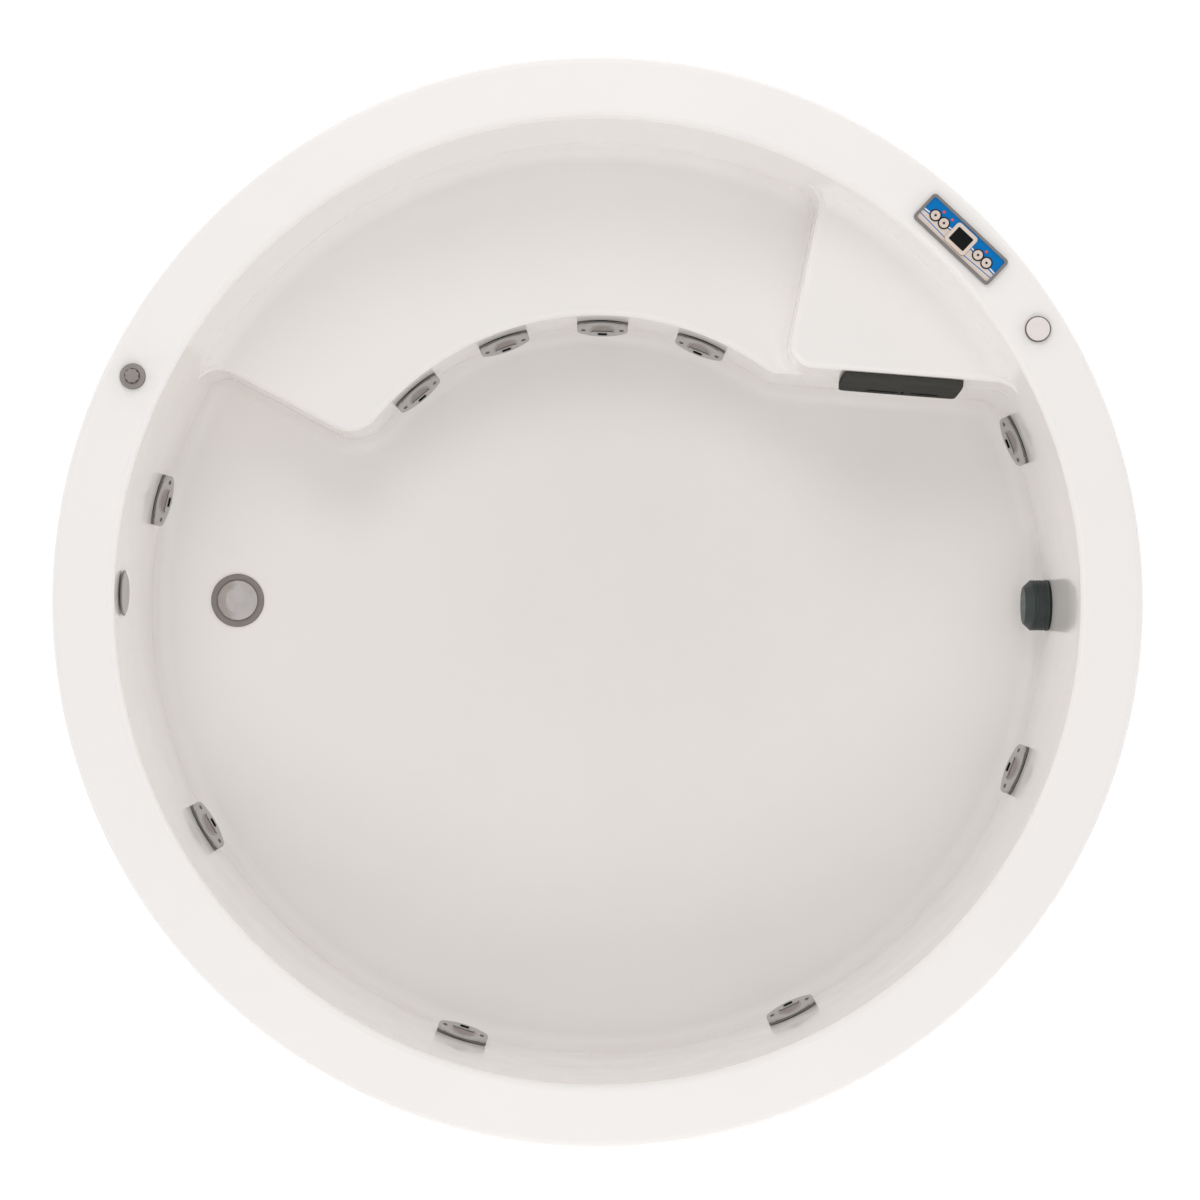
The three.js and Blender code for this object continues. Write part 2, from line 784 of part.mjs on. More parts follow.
function bowl_outside() {
  const foot = floor_level - shell_wall;
  const under_rim = rim_level - shell_wall;
  const lip_inside = rim_radius - shell_wall;
  const lip_foot = rim_level - lip_depth;
  return turned([[0, foot], [wall_at(floor_level) + shell_wall, foot, floor_cove + shell_wall],
    [wall_at(under_rim) + shell_wall, under_rim], [lip_inside, under_rim], [lip_inside, lip_foot],
    [rim_radius, lip_foot], [rim_radius, rim_level, rim_edge_rounding], [0, rim_level]], round_steps);
}

// The places of the jets: four in the bench riser, then six in the round wall
function jet_places() {
  const bench = Array.from({ length: bench_jet_count }, (_, at) => ({
    radius: bench_front_at(jet_level_bench), angle: bench_jet_first + at * bench_jet_pitch, level: jet_level_bench,
  }));
  const wall = Array.from({ length: wall_jet_count }, (_, at) => ({
    radius: wall_at(jet_level_wall), angle: wall_jet_first + at * wall_jet_pitch, level: jet_level_wall,
  }));
  return [...bench, ...wall].map((jet) => ({
    ...jet,
    place: wall_place(jet.radius, jet.angle, jet.level),
    seat: sagitta(jet.radius, jet_face_width / 2) + facet_drop(jet.radius) + gap,
  }));
}

const jets = jet_places();

const suction_place = wall_place(wall_at(suction_level), suction_angle, suction_level);
const overflow_place = wall_place(wall_at(overflow_level), waste_angle, overflow_level);
const drain_place = facing(polar(drain_radius_place, waste_angle, floor_level), upright, polar(1, waste_angle, 0));
const air_control = rim_place(air_control_place, air_control_place.angle);
const start_button = rim_place(start_button_place, start_button_place.angle);
const panel = rim_place(panel_place, panel_turn);
const round_seat = (half_width, level) =>
  sagitta(wall_at(level), half_width) + facet_drop(wall_at(level)) + gap;
const suction_seat = round_seat(suction_flange_radius, suction_level);
const overflow_seat = round_seat(overflow_knob_radius, overflow_level);

// The middle of the cover on the platform's riser
const cover_level = platform_level - cover_drop - cover_height / 2;
const cover = (() => {
  const angle = platform_front_line.facing;
  const distance = front_distance_at(cover_level);
  const along = (cover_place - distance * Math.cos(angle)) / Math.sin(angle);
  const point = polar(distance, angle, cover_level).add(polar(along, angle - quarter, 0));
  return facing(point, polar(-Math.cos(wall_draft), angle, Math.sin(wall_draft)), upright);
})();
const cover_opening = { length: cover_width - 2 * cover_opening_margin, height: cover_height - 2 * cover_opening_margin };

function tub_shell() {
  const bore = (radius, place, segments = jet_body_segments) =>
    solid(moved(bar(radius, -overrun * 2, overrun, segments), place));
  const holes = [
    ...jets.map((jet) => bore(jet_body_radius + gap, jet.place)),
    bore(suction_body_radius + gap, suction_place, suction_segments),
    bore(turning_bore(overflow_spindle_radius, jet_segments), overflow_place, jet_segments),
    bore(drain_neck_radius + gap, drain_place, drain_segments),
    bore(control_body_radius + gap, air_control, rim_fitting_segments),
    bore(control_body_radius + gap, start_button, rim_fitting_segments),
    solid(moved(plate(rectangle(panel_body_length + 2 * gap, panel_body_width + 2 * gap), -overrun, overrun), panel)),
    solid(moved(plate(rectangle(cover_opening.length, cover_opening.height), -overrun * 2, overrun), cover)),
  ];
  const outside = solid(bowl_outside()).intersect(stepped_hollow(shell_wall));
  const inside = solid(bowl_inside()).intersect(stepped_hollow(0));
  return geometry_of(cut(outside.subtract(inside), holes));
}


// Jets

// The barrel outline of a jet's face
function jet_outline() {
  const edge = Array.from({ length: jet_outline_steps + 1 }, (_, at) => {
    const share = 1 - 2 * at / jet_outline_steps;
    const rise = (jet_face_middle - jet_face_end) * (1 - share ** 2) / 2;
    return new THREE.Vector3(share * jet_face_width / 2, jet_face_end / 2 + rise, 0);
  });
  return [...edge, ...edge.map((point) => point.clone().negate())];
}

// From the wall to a jet's face, which leans back so that its upper edge is close to the wall
const jet_stand_off = (jet_edge_lift + jet_face_middle / 2 * Math.sin(jet_tilt)) / Math.cos(jet_tilt);
const jet_lean = (seat) => new THREE.Matrix4().makeTranslation(0, 0, seat)
  .multiply(new THREE.Matrix4().makeRotationX(-jet_tilt))
  .multiply(new THREE.Matrix4().makeTranslation(0, 0, jet_stand_off));

// A wedge with the face's outline, cut off flat where it stands on the wall
function jet_face(seat) {
  const shares = jet_dome_shares.map(([size, height]) => [size, jet_face_thickness * height]);
  const foot = -jet_stand_off - jet_face_middle;
  const block = solid(moved(stepped(jet_outline(), [[1, foot], ...shares]), jet_lean(seat)));
  const bore = bar(turning_bore(nozzle_radius, jet_segments), foot - overrun, overrun, jet_segments);
  const behind = bar(jet_face_width, seat - jet_face_width, seat, jet_segments);
  return geometry_of(cut(block, [solid(behind), solid(moved(bore, jet_lean(seat)))]));
}

// A round cap with a half-round pocket above and the eye of the jet below
function jet_nozzle() {
  const front = jet_face_thickness + nozzle_proud;
  const cap = turned([[0, -nozzle_tail_length], [nozzle_tail_radius, -nozzle_tail_length], [nozzle_tail_radius, 0],
    [nozzle_radius, 0], [nozzle_radius, front - nozzle_edge], [nozzle_radius - nozzle_edge, front], [0, front]],
  jet_segments);
  const pocket = Array.from({ length: nozzle_pocket_steps + 1 }, (_, at) => {
    const corner = polar(nozzle_radius - nozzle_rim - nozzle_edge, half_turn * at / nozzle_pocket_steps, 0);
    return [corner.x, corner.y];
  });
  const eye = rectangle(nozzle_eye_width, nozzle_eye_height, 0, 0, -nozzle_eye_drop);
  return geometry_of(cut(solid(cap), [solid(plate(pocket, front - nozzle_pocket_depth, front + overrun)),
    solid(plate(eye, front - nozzle_eye_depth, front + overrun))]));
}

// The part of a jet behind the wall, up to the middle of its pipe
function jet_body(seat, reach) {
  const front = seat - gap;
  const nut_front = -shell_wall - gap;
  return turned([[0, -reach], [jet_body_radius, -reach], [jet_nut_radius, nut_front],
    [jet_body_radius, nut_front], [jet_body_radius, front], [0, front]], jet_body_segments);
}

// Pump, seen along its shaft: +Z of its place runs from the motor to the inlet, +X out of the tub
const pump = facing(polar(pump_place, pump_angle, board_top + pump_axis_height),
  polar(1, pump_angle - quarter, 0), upright);
const pump_outlet_rise = jet_level_wall - board_top - pump_axis_height;
const pump_outlet_along = volute_length / 2;
const pump_outlet_end = volute_radius + pump_port_length;
const in_pump = (x, y, z) => new THREE.Vector3(x, y, z).applyMatrix4(pump);

// Where the air comes down on a jet's body
function air_inlet(jet) {
  const radius = jet.level === jet_level_bench ? manifold_radius - air_bench_set_in
    : water_ring_radius - air_wall_set_in;
  return polar(radius, jet.angle, jet.level + jet_body_radius + air_drop_clearance);
}

// The pressure side: ring round the wall, manifold behind the bench riser, and the jets' bodies
function water_pipework() {
  const ring_end = jets.at(-1).angle + water_end_turn;
  const outlet = in_pump(pump_outlet_end + gap, pump_outlet_rise, pump_outlet_along);
  const ring_start = pump_angle - Math.asin(pump_outlet_along / water_ring_radius);
  const bodies = jets.map((jet) => {
    const reach = (jet.level === jet_level_bench ? manifold_radius : water_ring_radius) - jet.radius;
    return solid(moved(jet_body(jet.seat, reach), jet.place));
  });
  const nipples = jets.map((jet) => {
    const inlet = air_inlet(jet);
    const foot = inlet.clone().setZ(jet.level);
    return solid(straight_pipe(foot, inlet.setZ(inlet.z - gap), air_nipple_radius, hose_sides));
  });
  return geometry_of(joined(
    solid(round_pipe(water_ring_radius, jet_level_wall, ring_start, ring_end, water_pipe_radius)),
    solid(round_pipe(manifold_radius, jet_level_bench, bench_jet_first - manifold_end_turn, branch_angle,
      water_pipe_radius)),
    solid(straight_pipe(polar(water_ring_radius, branch_angle, jet_level_wall),
      polar(manifold_radius, branch_angle, jet_level_bench), water_pipe_radius)),
    solid(straight_pipe(outlet, polar(water_ring_radius, ring_start, jet_level_wall), water_pipe_radius)),
    ...bodies,
    ...nipples,
  ));
}

// The air side: riser from the regulator, ring, branch under the bench, and a drop to each jet's body
function air_pipework() {
  const regulator = air_control_place.angle;
  const spigot_end = rim_level - control_body_length - control_spigot_length - gap;
  const branch_foot = branch_angle - air_branch_turn;
  const drops = jets.map((jet) => {
    const bench = jet.level === jet_level_bench;
    const head = polar(bench ? manifold_radius : air_ring_radius, jet.angle, bench ? air_bench_level : air_ring_level);
    const inlet = air_inlet(jet);
    return solid(bent_pipe([head, inlet.clone().setZ(head.z), inlet], air_bend, air_drop_radius, hose_sides));
  });
  const branch = [
    polar(air_ring_radius, air_branch_angle, air_ring_level),
    polar(air_ring_radius - air_bend / 2, branch_foot, air_ring_level),
    polar(manifold_radius + air_bend, branch_foot, air_bench_level),
    polar(manifold_radius, branch_foot - air_branch_turn, air_bench_level),
  ];
  const riser = [
    polar(air_control_place.radius, regulator, spigot_end),
    polar(air_control_place.radius, regulator, air_ring_level + 2 * air_bend),
    polar(air_ring_radius, regulator, air_ring_level + air_bend),
    polar(air_ring_radius, regulator, air_ring_level),
  ];
  return geometry_of(joined(
    solid(round_pipe(air_ring_radius, air_ring_level, air_branch_angle, jets.at(-1).angle, air_pipe_radius,
      hose_sides)),
    solid(round_pipe(manifold_radius, air_bench_level, bench_jet_first, branch_foot, air_pipe_radius, hose_sides)),
    solid(bent_pipe(branch, air_bend, air_pipe_radius, hose_sides)),
    solid(bent_pipe(riser, air_bend, air_pipe_radius, hose_sides)),
    ...drops,
  ));
}

// Suction strainer: a cup whose side is ribbed by round grooves
function suction_cover() {
  const back = suction_seat;
  const side = back + suction_length;
  const front = side + suction_cone_length;
  const pitch = suction_groove_width + suction_rib_width;
  const first = back + suction_flange_thickness + suction_first_rib;
  const grooves = Array.from({ length: suction_groove_count }, (_, at) => {
    const low = first + at * pitch;
    const high = low + suction_groove_width;
    const root = suction_radius - suction_groove_depth;
    return [[suction_radius, low], [root, low], [root, high], [suction_radius, high]];
  }).flat();
  const wall = suction_groove_depth + suction_skin;
  const inside = suction_radius - wall;
  return turned([[0, front - suction_skin], [suction_face_radius - suction_skin, front - suction_skin],
    [inside, side - suction_skin], [inside, back], [suction_flange_radius, back],
    [suction_flange_radius, back + suction_flange_thickness],
    [suction_radius, back + suction_flange_thickness], ...grooves,
    [suction_radius, side], [suction_face_radius, front], [0, front]], suction_segments);
}

function suction_pipe() {
  const front = suction_seat - gap;
  const nut_front = -shell_wall - gap;
  const nut_back = nut_front - jet_nut_thickness;
  const body = turned([[0, -suction_body_length], [suction_body_radius, -suction_body_length],
    [suction_body_radius, nut_back], [suction_body_radius + jet_nut_thickness, nut_back],
    [suction_body_radius + jet_nut_thickness, nut_front], [suction_body_radius, nut_front],
    [suction_body_radius, front], [suction_pipe_radius, front],
    [suction_pipe_radius, front - suction_body_length / 2], [0, front - suction_body_length / 2]],
  suction_segments);
  const inlet = volute_length + pump_port_length + gap;
  const level = suction_run_level;
  const run_turn = suction_run_end - suction_run_start;
  const route = [
    polar(suction_drop_place, suction_angle, suction_level),
    polar(suction_drop_place, suction_angle, level),
    ...Array.from({ length: suction_run_bends }, (_, at) =>
      polar(suction_run_radius, suction_run_start + run_turn * at / (suction_run_bends - 1), level)),
    polar(suction_lead_place, suction_lead_angle, level),
    in_pump(0, 0, inlet + 2 * suction_pipe_radius),
    in_pump(0, 0, inlet),
  ];
  const run = bent_pipe(route, suction_bend, suction_pipe_radius);
  return geometry_of(joined(solid(moved(body, suction_place)), solid(run)));
}

// Waste: flange in the floor, plug, trap below, and the overflow with its turning knob

function drain_flange() {
  const top = gap + drain_flange_thickness;
  const dish = top - drain_seat_depth;
  return turned([[drain_bore_radius, -drain_neck_length], [drain_neck_radius, -drain_neck_length],
    [drain_neck_radius, gap], [drain_flange_radius, gap], [drain_flange_radius - drain_seat_depth, top],
    [drain_seat_radius, top], [drain_seat_radius, dish], [drain_bore_radius, dish]], drain_segments, true);
}

function drain_plug() {
  const seat = 2 * gap + drain_flange_thickness - drain_seat_depth;
  return turned([[0, seat - plug_stem_length], [plug_stem_radius, seat - plug_stem_length],
    [plug_stem_radius, seat], [plug_radius, seat], [plug_radius, seat + plug_edge],
    [plug_radius / 2, seat + plug_edge + plug_crown / 2], [0, seat + plug_edge + plug_crown]], drain_segments);
}

const trap_pipe_level = overflow_run_level;

function drain_trap() {
  const top = floor_level - drain_neck_length - gap;
  const inside = trap_radius - trap_wall;
  const neck = drain_neck_radius;
  const shoulder = trap_pipe_level + trap_radius;
  const cup = turned([[0, trap_level], [trap_radius, trap_level, trap_wall], [trap_radius, shoulder],
    [neck, shoulder], [neck, top], [drain_bore_radius, top], [drain_bore_radius, shoulder - trap_wall],
    [inside, shoulder - trap_wall], [inside, trap_level + trap_wall], [0, trap_level + trap_wall]],
  suction_segments);
  const middle_point = polar(drain_radius_place, waste_angle, trap_pipe_level);
  const towards = polar(1, waste_angle + quarter, 0);
  const along = (length) => middle_point.clone().addScaledVector(towards, length);
  const socket_end = trap_outlet_length - waste_spigot_length;
  const outlet = turned([[0, inside], [waste_spigot_radius + trap_wall, inside],
    [waste_spigot_radius + trap_wall, socket_end], [waste_spigot_radius, socket_end],
    [waste_spigot_radius, trap_outlet_length], [0, trap_outlet_length]], spigot_segments);
  const bore = straight_pipe(along(0), along(trap_outlet_length + overrun), waste_spigot_radius - trap_wall);
  const placed = cup.translate(middle_point.x, middle_point.y, 0);
  const run = moved(outlet, facing(middle_point, towards, upright));
  return geometry_of(cut(joined(solid(placed), solid(run)), [solid(bore)]));
}

function overflow_knob() {
  const back = overflow_seat;
  const front = back + overflow_knob_thickness;
  return turned([[0, -shell_wall], [overflow_spindle_radius, -shell_wall], [overflow_spindle_radius, back],
    [overflow_knob_radius, back], [overflow_knob_radius, front - overflow_knob_edge],
    [overflow_knob_radius - overflow_knob_edge, front],
    [overflow_knob_radius - 2 * overflow_knob_edge, front], [0, front - overflow_knob_dish]], drain_segments);
}

function overflow_pipe() {
  const face = -shell_wall - gap;
  const body = moved(bar(overflow_body_radius, face - overflow_body_length, face, suction_segments), overflow_place);
  const route = [
    polar(overflow_pipe_place, waste_angle, overflow_level),
    polar(overflow_pipe_place, waste_angle, overflow_run_level),
    polar(drain_radius_place + trap_radius + gap, waste_angle, overflow_run_level),
  ];
  const pipe = bent_pipe(route, overflow_bend, overflow_pipe_radius);
  return geometry_of(joined(solid(body), solid(pipe)));
}

// Cover on the riser of the platform, with its two slots and its latch notch, and the box behind it
function filter_cover() {
  const inner = (margin) => rectangle(cover_width - 2 * margin, cover_height - 2 * margin, cover_corner - margin);
  const back = 2 * gap;
  const front = back + cover_thickness;
  const shell = bevelled_plate(cover_width, cover_height, cover_corner, back, front, cover_edge);
  const pocket = plate(inner(cover_skin), -overrun, front - cover_skin);
  const slot_y = cover_slot_rise - cover_height / 2;
  const slots = cover_slots.map(({ middle: x, width }) =>
    rectangle(width, cover_slot_height, cover_slot_height / 2 - gap, x, slot_y));
  const notch = rectangle(cover_latch_width, cover_latch_height, 0, cover_latch_middle, slot_y);
  const holes = [...slots, notch].map((outline) => solid(plate(outline, -overrun, overrun)));
  return geometry_of(cut(solid(shell), [solid(pocket), ...holes]));
}

function filter_housing() {
  const face = -shell_wall - gap;
  const { length, height } = cover_opening;
  const outside = plate(rectangle(length + 2 * housing_wall, height + 2 * housing_wall), face - housing_depth, face);
  const flange = plate(rectangle(length + 2 * housing_flange, height + 2 * housing_flange),
    face - housing_wall, face);
  const inside = plate(rectangle(length, height), face - housing_depth + housing_wall, overrun);
  return geometry_of(joined(solid(outside), solid(flange)).subtract(solid(inside)));
}

// Air regulator, start button and control panel on the rim

function air_control_base() {
  const foot = -control_body_length;
  const top = gap + control_flange_thickness;
  const bore = knob_spindle_radius + gap;
  return turned([[0, foot - control_spigot_length], [control_spigot_radius, foot - control_spigot_length],
    [control_spigot_radius, foot], [control_body_radius, foot], [control_body_radius, gap],
    [control_flange_radius, gap], [control_flange_radius, top], [bore, top], [bore, -knob_spindle_length],
    [0, -knob_spindle_length]], rim_fitting_segments);
}

function air_control_knob() {
  const foot = 2 * gap + control_flange_thickness;
  const skirt = foot + knob_skirt_thickness;
  const top = foot + knob_height;
  const knob = turned([[0, gap - knob_spindle_length], [knob_spindle_radius, gap - knob_spindle_length],
    [knob_spindle_radius, foot], [knob_skirt_radius, foot], [knob_skirt_radius, skirt - knob_edge],
    [knob_skirt_radius - knob_edge, skirt], [knob_grip_radius, skirt], [knob_grip_radius, top - knob_edge],
    [knob_grip_radius - knob_edge, top], [0, top]], rim_fitting_segments);
  const notch = plate(rectangle(2 * knob_grip_radius, knob_notch_width, 0, knob_grip_radius),
    top - knob_notch_depth, top + overrun);
  return geometry_of(solid(knob).subtract(solid(notch)));
}

function start_button_ring() {
  const well = start_cap_radius + gap;
  const well_floor = gap + start_ring_floor;
  const stem = start_stem_radius + gap;
  const stem_floor = -start_well_depth;
  return turned([[0, -control_body_length], [control_body_radius, -control_body_length],
    [control_body_radius, gap], [control_flange_radius, gap], [control_flange_radius, gap + start_ring_height],
    [well, gap + start_ring_height], [well, well_floor], [stem, well_floor], [stem, stem_floor],
    [0, stem_floor]], rim_fitting_segments);
}

function start_button_cap() {
  const foot = 2 * gap + start_ring_floor + start_travel;
  const top = foot + start_cap_height;
  const stem_foot = gap + start_travel - start_well_depth;
  return turned([[0, stem_foot], [start_stem_radius, stem_foot], [start_stem_radius, foot],
    [start_cap_radius, foot], [start_cap_radius, top - start_cap_edge],
    [start_cap_radius - start_cap_edge, top], [0, top]], rim_fitting_segments);
}

const panel_face_level = gap + panel_height - panel_recess;

function panel_housing() {
  const body = plate(rectangle(panel_body_length, panel_body_width), -panel_body_depth, panel_face_level - panel_edge);
  const bezel = bevelled_plate(panel_length, panel_width, panel_corner, gap, gap + panel_height, panel_edge);
  const recess = plate(rectangle(panel_length - 2 * panel_border, panel_width - 2 * panel_border, panel_edge),
    panel_face_level, overrun);
  const pocket = plate(rectangle(display_length + 2 * gap, display_width + 2 * gap, display_corner),
    panel_face_level - display_depth, overrun);
  const wells = key_places.map((x) =>
    solid(bar(key_radius + gap, panel_face_level - key_well_depth, overrun, key_segments).translate(x, 0, 0)));
  return geometry_of(cut(joined(solid(body), solid(bezel)), [solid(recess), solid(pocket), ...wells]));
}

function panel_display() {
  const top = panel_face_level + display_rise;
  const frame = bevelled_plate(display_length, display_width, display_corner,
    panel_face_level - display_depth + gap, top, display_edge);
  const glass = plate(rectangle(display_glass_length, display_glass_width), top - display_glass_depth, overrun);
  return geometry_of(solid(frame).subtract(solid(glass)));
}

function panel_button() {
  const foot = panel_face_level - key_well_depth + key_travel + gap;
  const top = panel_face_level + key_rise;
  return turned([[0, foot], [key_radius, foot], [key_radius, top - key_edge], [key_radius - key_edge, top],
    [key_dish_radius, top], [0, top - key_edge]], key_segments);
}

// Board, frame, feet and side panels

function base_board() {
  const board = bar(apron_inside - gap, board_foot, board_top, round_steps);
  const below = board_foot - overrun;
  const hole = (radius, place) => {
    const point = polar(place, waste_angle, 0);
    return solid(bar(radius, below, board_top + overrun, suction_segments).translate(point.x, point.y, 0));
  };
  const holes = [hole(trap_radius + board_clearance, drain_radius_place),
    hole(overflow_pipe_radius + board_clearance, overflow_pipe_place)];
  return geometry_of(cut(solid(board), holes));
}

// A square steel tube along a direction, with holes in its lower wall for the feet
function steel_tube(from, direction, length, feet) {
  const section = rectangle(tube_side, tube_side);
  const hollow_section = rectangle(tube_side - 2 * tube_wall, tube_side - 2 * tube_wall);
  const body = moved(plate(section, 0, length, [hollow_section]), facing(from, direction, upright));
  const holes = feet.map((foot) => solid(bar(foot_stud_radius + gap, tube_foot - overrun,
    tube_foot + tube_side / 2, foot_segments).translate(foot.x, foot.y, 0)));
  return geometry_of(cut(solid(body), holes));
}

const tube_middle = tube_foot + tube_side / 2;
const foot_places = [
  [-1, -1], [1, -1], [1, 1], [-1, 1], [0, 0],
].map(([x, y]) => new THREE.Vector3(x * rail_spacing / 2, y * foot_spacing / 2, 0));

function frame_rail(side) {
  const start = new THREE.Vector3(side * rail_spacing / 2, -rail_length / 2, tube_middle);
  const feet = foot_places.filter((foot) => Math.sign(foot.x) === side);
  return steel_tube(start, new THREE.Vector3(0, 1, 0), rail_length, feet);
}

function frame_cross(row) {
  const length = rail_spacing - tube_side - 2 * gap;
  const start = new THREE.Vector3(-length / 2, row * cross_offset, tube_middle);
  const feet = foot_places.filter((foot) => foot.x === 0 && row === 0);
  return steel_tube(start, new THREE.Vector3(1, 0, 0), length, feet);
}

function foot() {
  const cone_top = foot_pad_thickness + foot_cone_height;
  const nut_top = tube_foot - gap;
  const nut_foot = nut_top - foot_nut_height;
  const stud_top = tube_foot + tube_wall + foot_nut_height;
  return turned([[0, 0], [foot_pad_radius, 0], [foot_pad_radius, foot_pad_thickness],
    [foot_stud_radius, cone_top], [foot_stud_radius, nut_foot],
    [foot_nut_radius, nut_foot], [foot_nut_radius, nut_top], [foot_stud_radius, nut_top],
    [foot_stud_radius, stud_top], [0, stud_top]], foot_segments);
}

// A flat ring sector between two angles, in step with the facets of the rim
function sector(inner, outer, from, to) {
  const angles = arc_angles(middle, outer, from, to);
  const point = (radius, angle) => [radius * Math.cos(angle), radius * Math.sin(angle)];
  return [...angles.map((angle) => point(outer, angle)),
    ...angles.slice().reverse().map((angle) => point(inner, angle))];
}

function apron_panel(number) {
  const turn = full_turn / apron_count;
  const half_joint = apron_joint / 2 / apron_radius;
  const from = number * turn + half_joint;
  const to = (number + 1) * turn - half_joint;
  const sheet = plate(sector(apron_inside, apron_radius, from, to), apron_foot, apron_top);
  const lip = plate(sector(apron_inside - apron_return, apron_inside + apron_thickness / 2, from, to),
    apron_foot, apron_foot + apron_thickness);
  return geometry_of(solid(sheet).add(solid(lip)));
}

// Pump and control box

function pump_wet_end() {
  const neck = volute_radius - volute_step;
  const body = turned([[0, 0], [neck, 0], [neck, volute_step], [volute_radius, volute_step],
    [volute_radius, volute_length - volute_step], [neck, volute_length], [pump_port_radius, volute_length],
    [pump_port_radius, volute_length + pump_port_length], [0, volute_length + pump_port_length]],
  suction_segments);
  const outlet = straight_pipe(new THREE.Vector3(volute_radius / 2, pump_outlet_rise, pump_outlet_along),
    new THREE.Vector3(pump_outlet_end, pump_outlet_rise, pump_outlet_along), water_pipe_radius + volute_sleeve);
  return moved(geometry_of(joined(solid(body), solid(outlet))), pump);
}

function pump_motor() {
  const fins = Array.from({ length: motor_fin_count }, (_, at) => {
    const start = at * full_turn / motor_fin_count;
    const point = (radius, share) => {
      const place = polar(radius, start + share * full_turn / motor_fin_count, 0);
      return [place.x, place.y];
    };
    return [point(motor_radius, motor_fin_shares[0]), point(motor_radius, motor_fin_shares[1]),
      point(motor_radius - motor_fin_height, motor_fin_shares[2]),
      point(motor_radius - motor_fin_height, motor_fin_shares[3])];
  }).flat();
  const back = -gap - motor_length;
  const body = plate(fins, back, -gap);
  const end = bar(motor_end_radius, back - motor_end_length, back + overrun, suction_segments);
  const sole = gap - pump_axis_height;
  const pad = (width, low, high) => new THREE.BoxGeometry(width, high - low, motor_foot_length)
    .translate(0, (low + high) / 2, -motor_length / 2);
  return moved(geometry_of(joined(solid(body), solid(end),
    solid(pad(pump_foot_width, sole, sole + pump_foot_thickness)), solid(pad(pump_web_width, sole, -motor_end_radius / 2)))),
  pump);
}

function control_box() {
  const { length, width, height } = control_box_size;
  const place = facing(polar(control_box_place, control_box_angle, board_top + gap), upright,
    polar(1, control_box_angle, 0));
  const body = bevelled_plate(length, width, control_box_corner, 0, height, control_box_corner / 2);
  const gland = straight_pipe(new THREE.Vector3(0, 0, height / 2),
    new THREE.Vector3(-length / 2 - control_gland_length, 0, height / 2), control_gland_radius);
  return moved(geometry_of(joined(solid(body), solid(gland))), place);
}

// The assembly

const bath = new THREE.Group();

function put(parent, name, geometry, material) {
  const mesh = new THREE.Mesh(geometry, material);
  mesh.name = name;
  parent.add(mesh);
}

// A group set at a place in the tub
function group_at(place) {
  const group = new THREE.Group();
  group.applyMatrix4(place);
  bath.add(group);
  return group;
}

put(bath, 'tub_shell', tub_shell(), acrylic);
put(bath, 'base_board', base_board(), board_resin);
put(bath, 'frame_rail_left', frame_rail(-1), zinc_steel);
put(bath, 'frame_rail_right', frame_rail(1), zinc_steel);
['front', 'middle', 'rear'].forEach((name, at) => put(bath, `frame_cross_${name}`, frame_cross(at - 1), zinc_steel));
foot_places.forEach((place, at) => {
  put(group_at(new THREE.Matrix4().setPosition(place)), `foot_${at + 1}`, closed(foot()), rubber_black);
});
for (let at = 0; at < apron_count; at += 1) put(bath, `apron_${at + 1}`, apron_panel(at), acrylic);

jets.forEach((jet, at) => {
  const leaning = group_at(jet.place.clone().multiply(jet_lean(jet.seat)));
  put(group_at(jet.place), `jet_face_${at + 1}`, jet_face(jet.seat), satin_metal);
  put(leaning, `jet_nozzle_${at + 1}`, jet_nozzle(), satin_metal);
});
put(bath, 'water_pipework', water_pipework(), pipe_plastic);
put(bath, 'air_pipework', air_pipework(), hose_plastic);

put(group_at(suction_place), 'suction_cover', closed(suction_cover()), dark_plastic);
put(bath, 'suction_pipe', suction_pipe(), pipe_plastic);
const drain = group_at(drain_place);
put(drain, 'drain_flange', closed(drain_flange()), chrome);
put(drain, 'drain_plug', closed(drain_plug()), chrome);
put(bath, 'drain_trap', drain_trap(), pipe_plastic);
put(group_at(overflow_place), 'overflow_knob', closed(overflow_knob()), chrome);
put(bath, 'overflow_pipe', overflow_pipe(), pipe_plastic);

const filter = group_at(cover);
put(filter, 'filter_cover', filter_cover(), cover_plastic);
put(filter, 'filter_housing', filter_housing(), dark_plastic);

const regulator = group_at(air_control);
put(regulator, 'air_control_base', closed(air_control_base()), grey_plastic);
put(regulator, 'air_control_knob', air_control_knob(), grey_plastic);
const starter = group_at(start_button);
put(starter, 'start_button_ring', closed(start_button_ring()), black_plastic);
put(starter, 'start_button_cap', closed(start_button_cap()), button_plastic);

const control_panel = group_at(panel);
put(control_panel, 'panel_housing', panel_housing(), grey_plastic);
put(control_panel, 'panel_display', panel_display(), display_plastic);
key_places.forEach((x, at) => {
  put(control_panel, `panel_button_${at + 1}`, closed(panel_button().translate(x, 0, 0)), key_plastic);
});

put(bath, 'pump_wet_end', pump_wet_end(), black_plastic);
put(bath, 'pump_motor', pump_motor(), motor_paint);
put(bath, 'control_box', control_box(), grey_plastic);

export default bath;
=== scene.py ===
import bmesh
import bpy
import math
from mathutils import Matrix, Vector

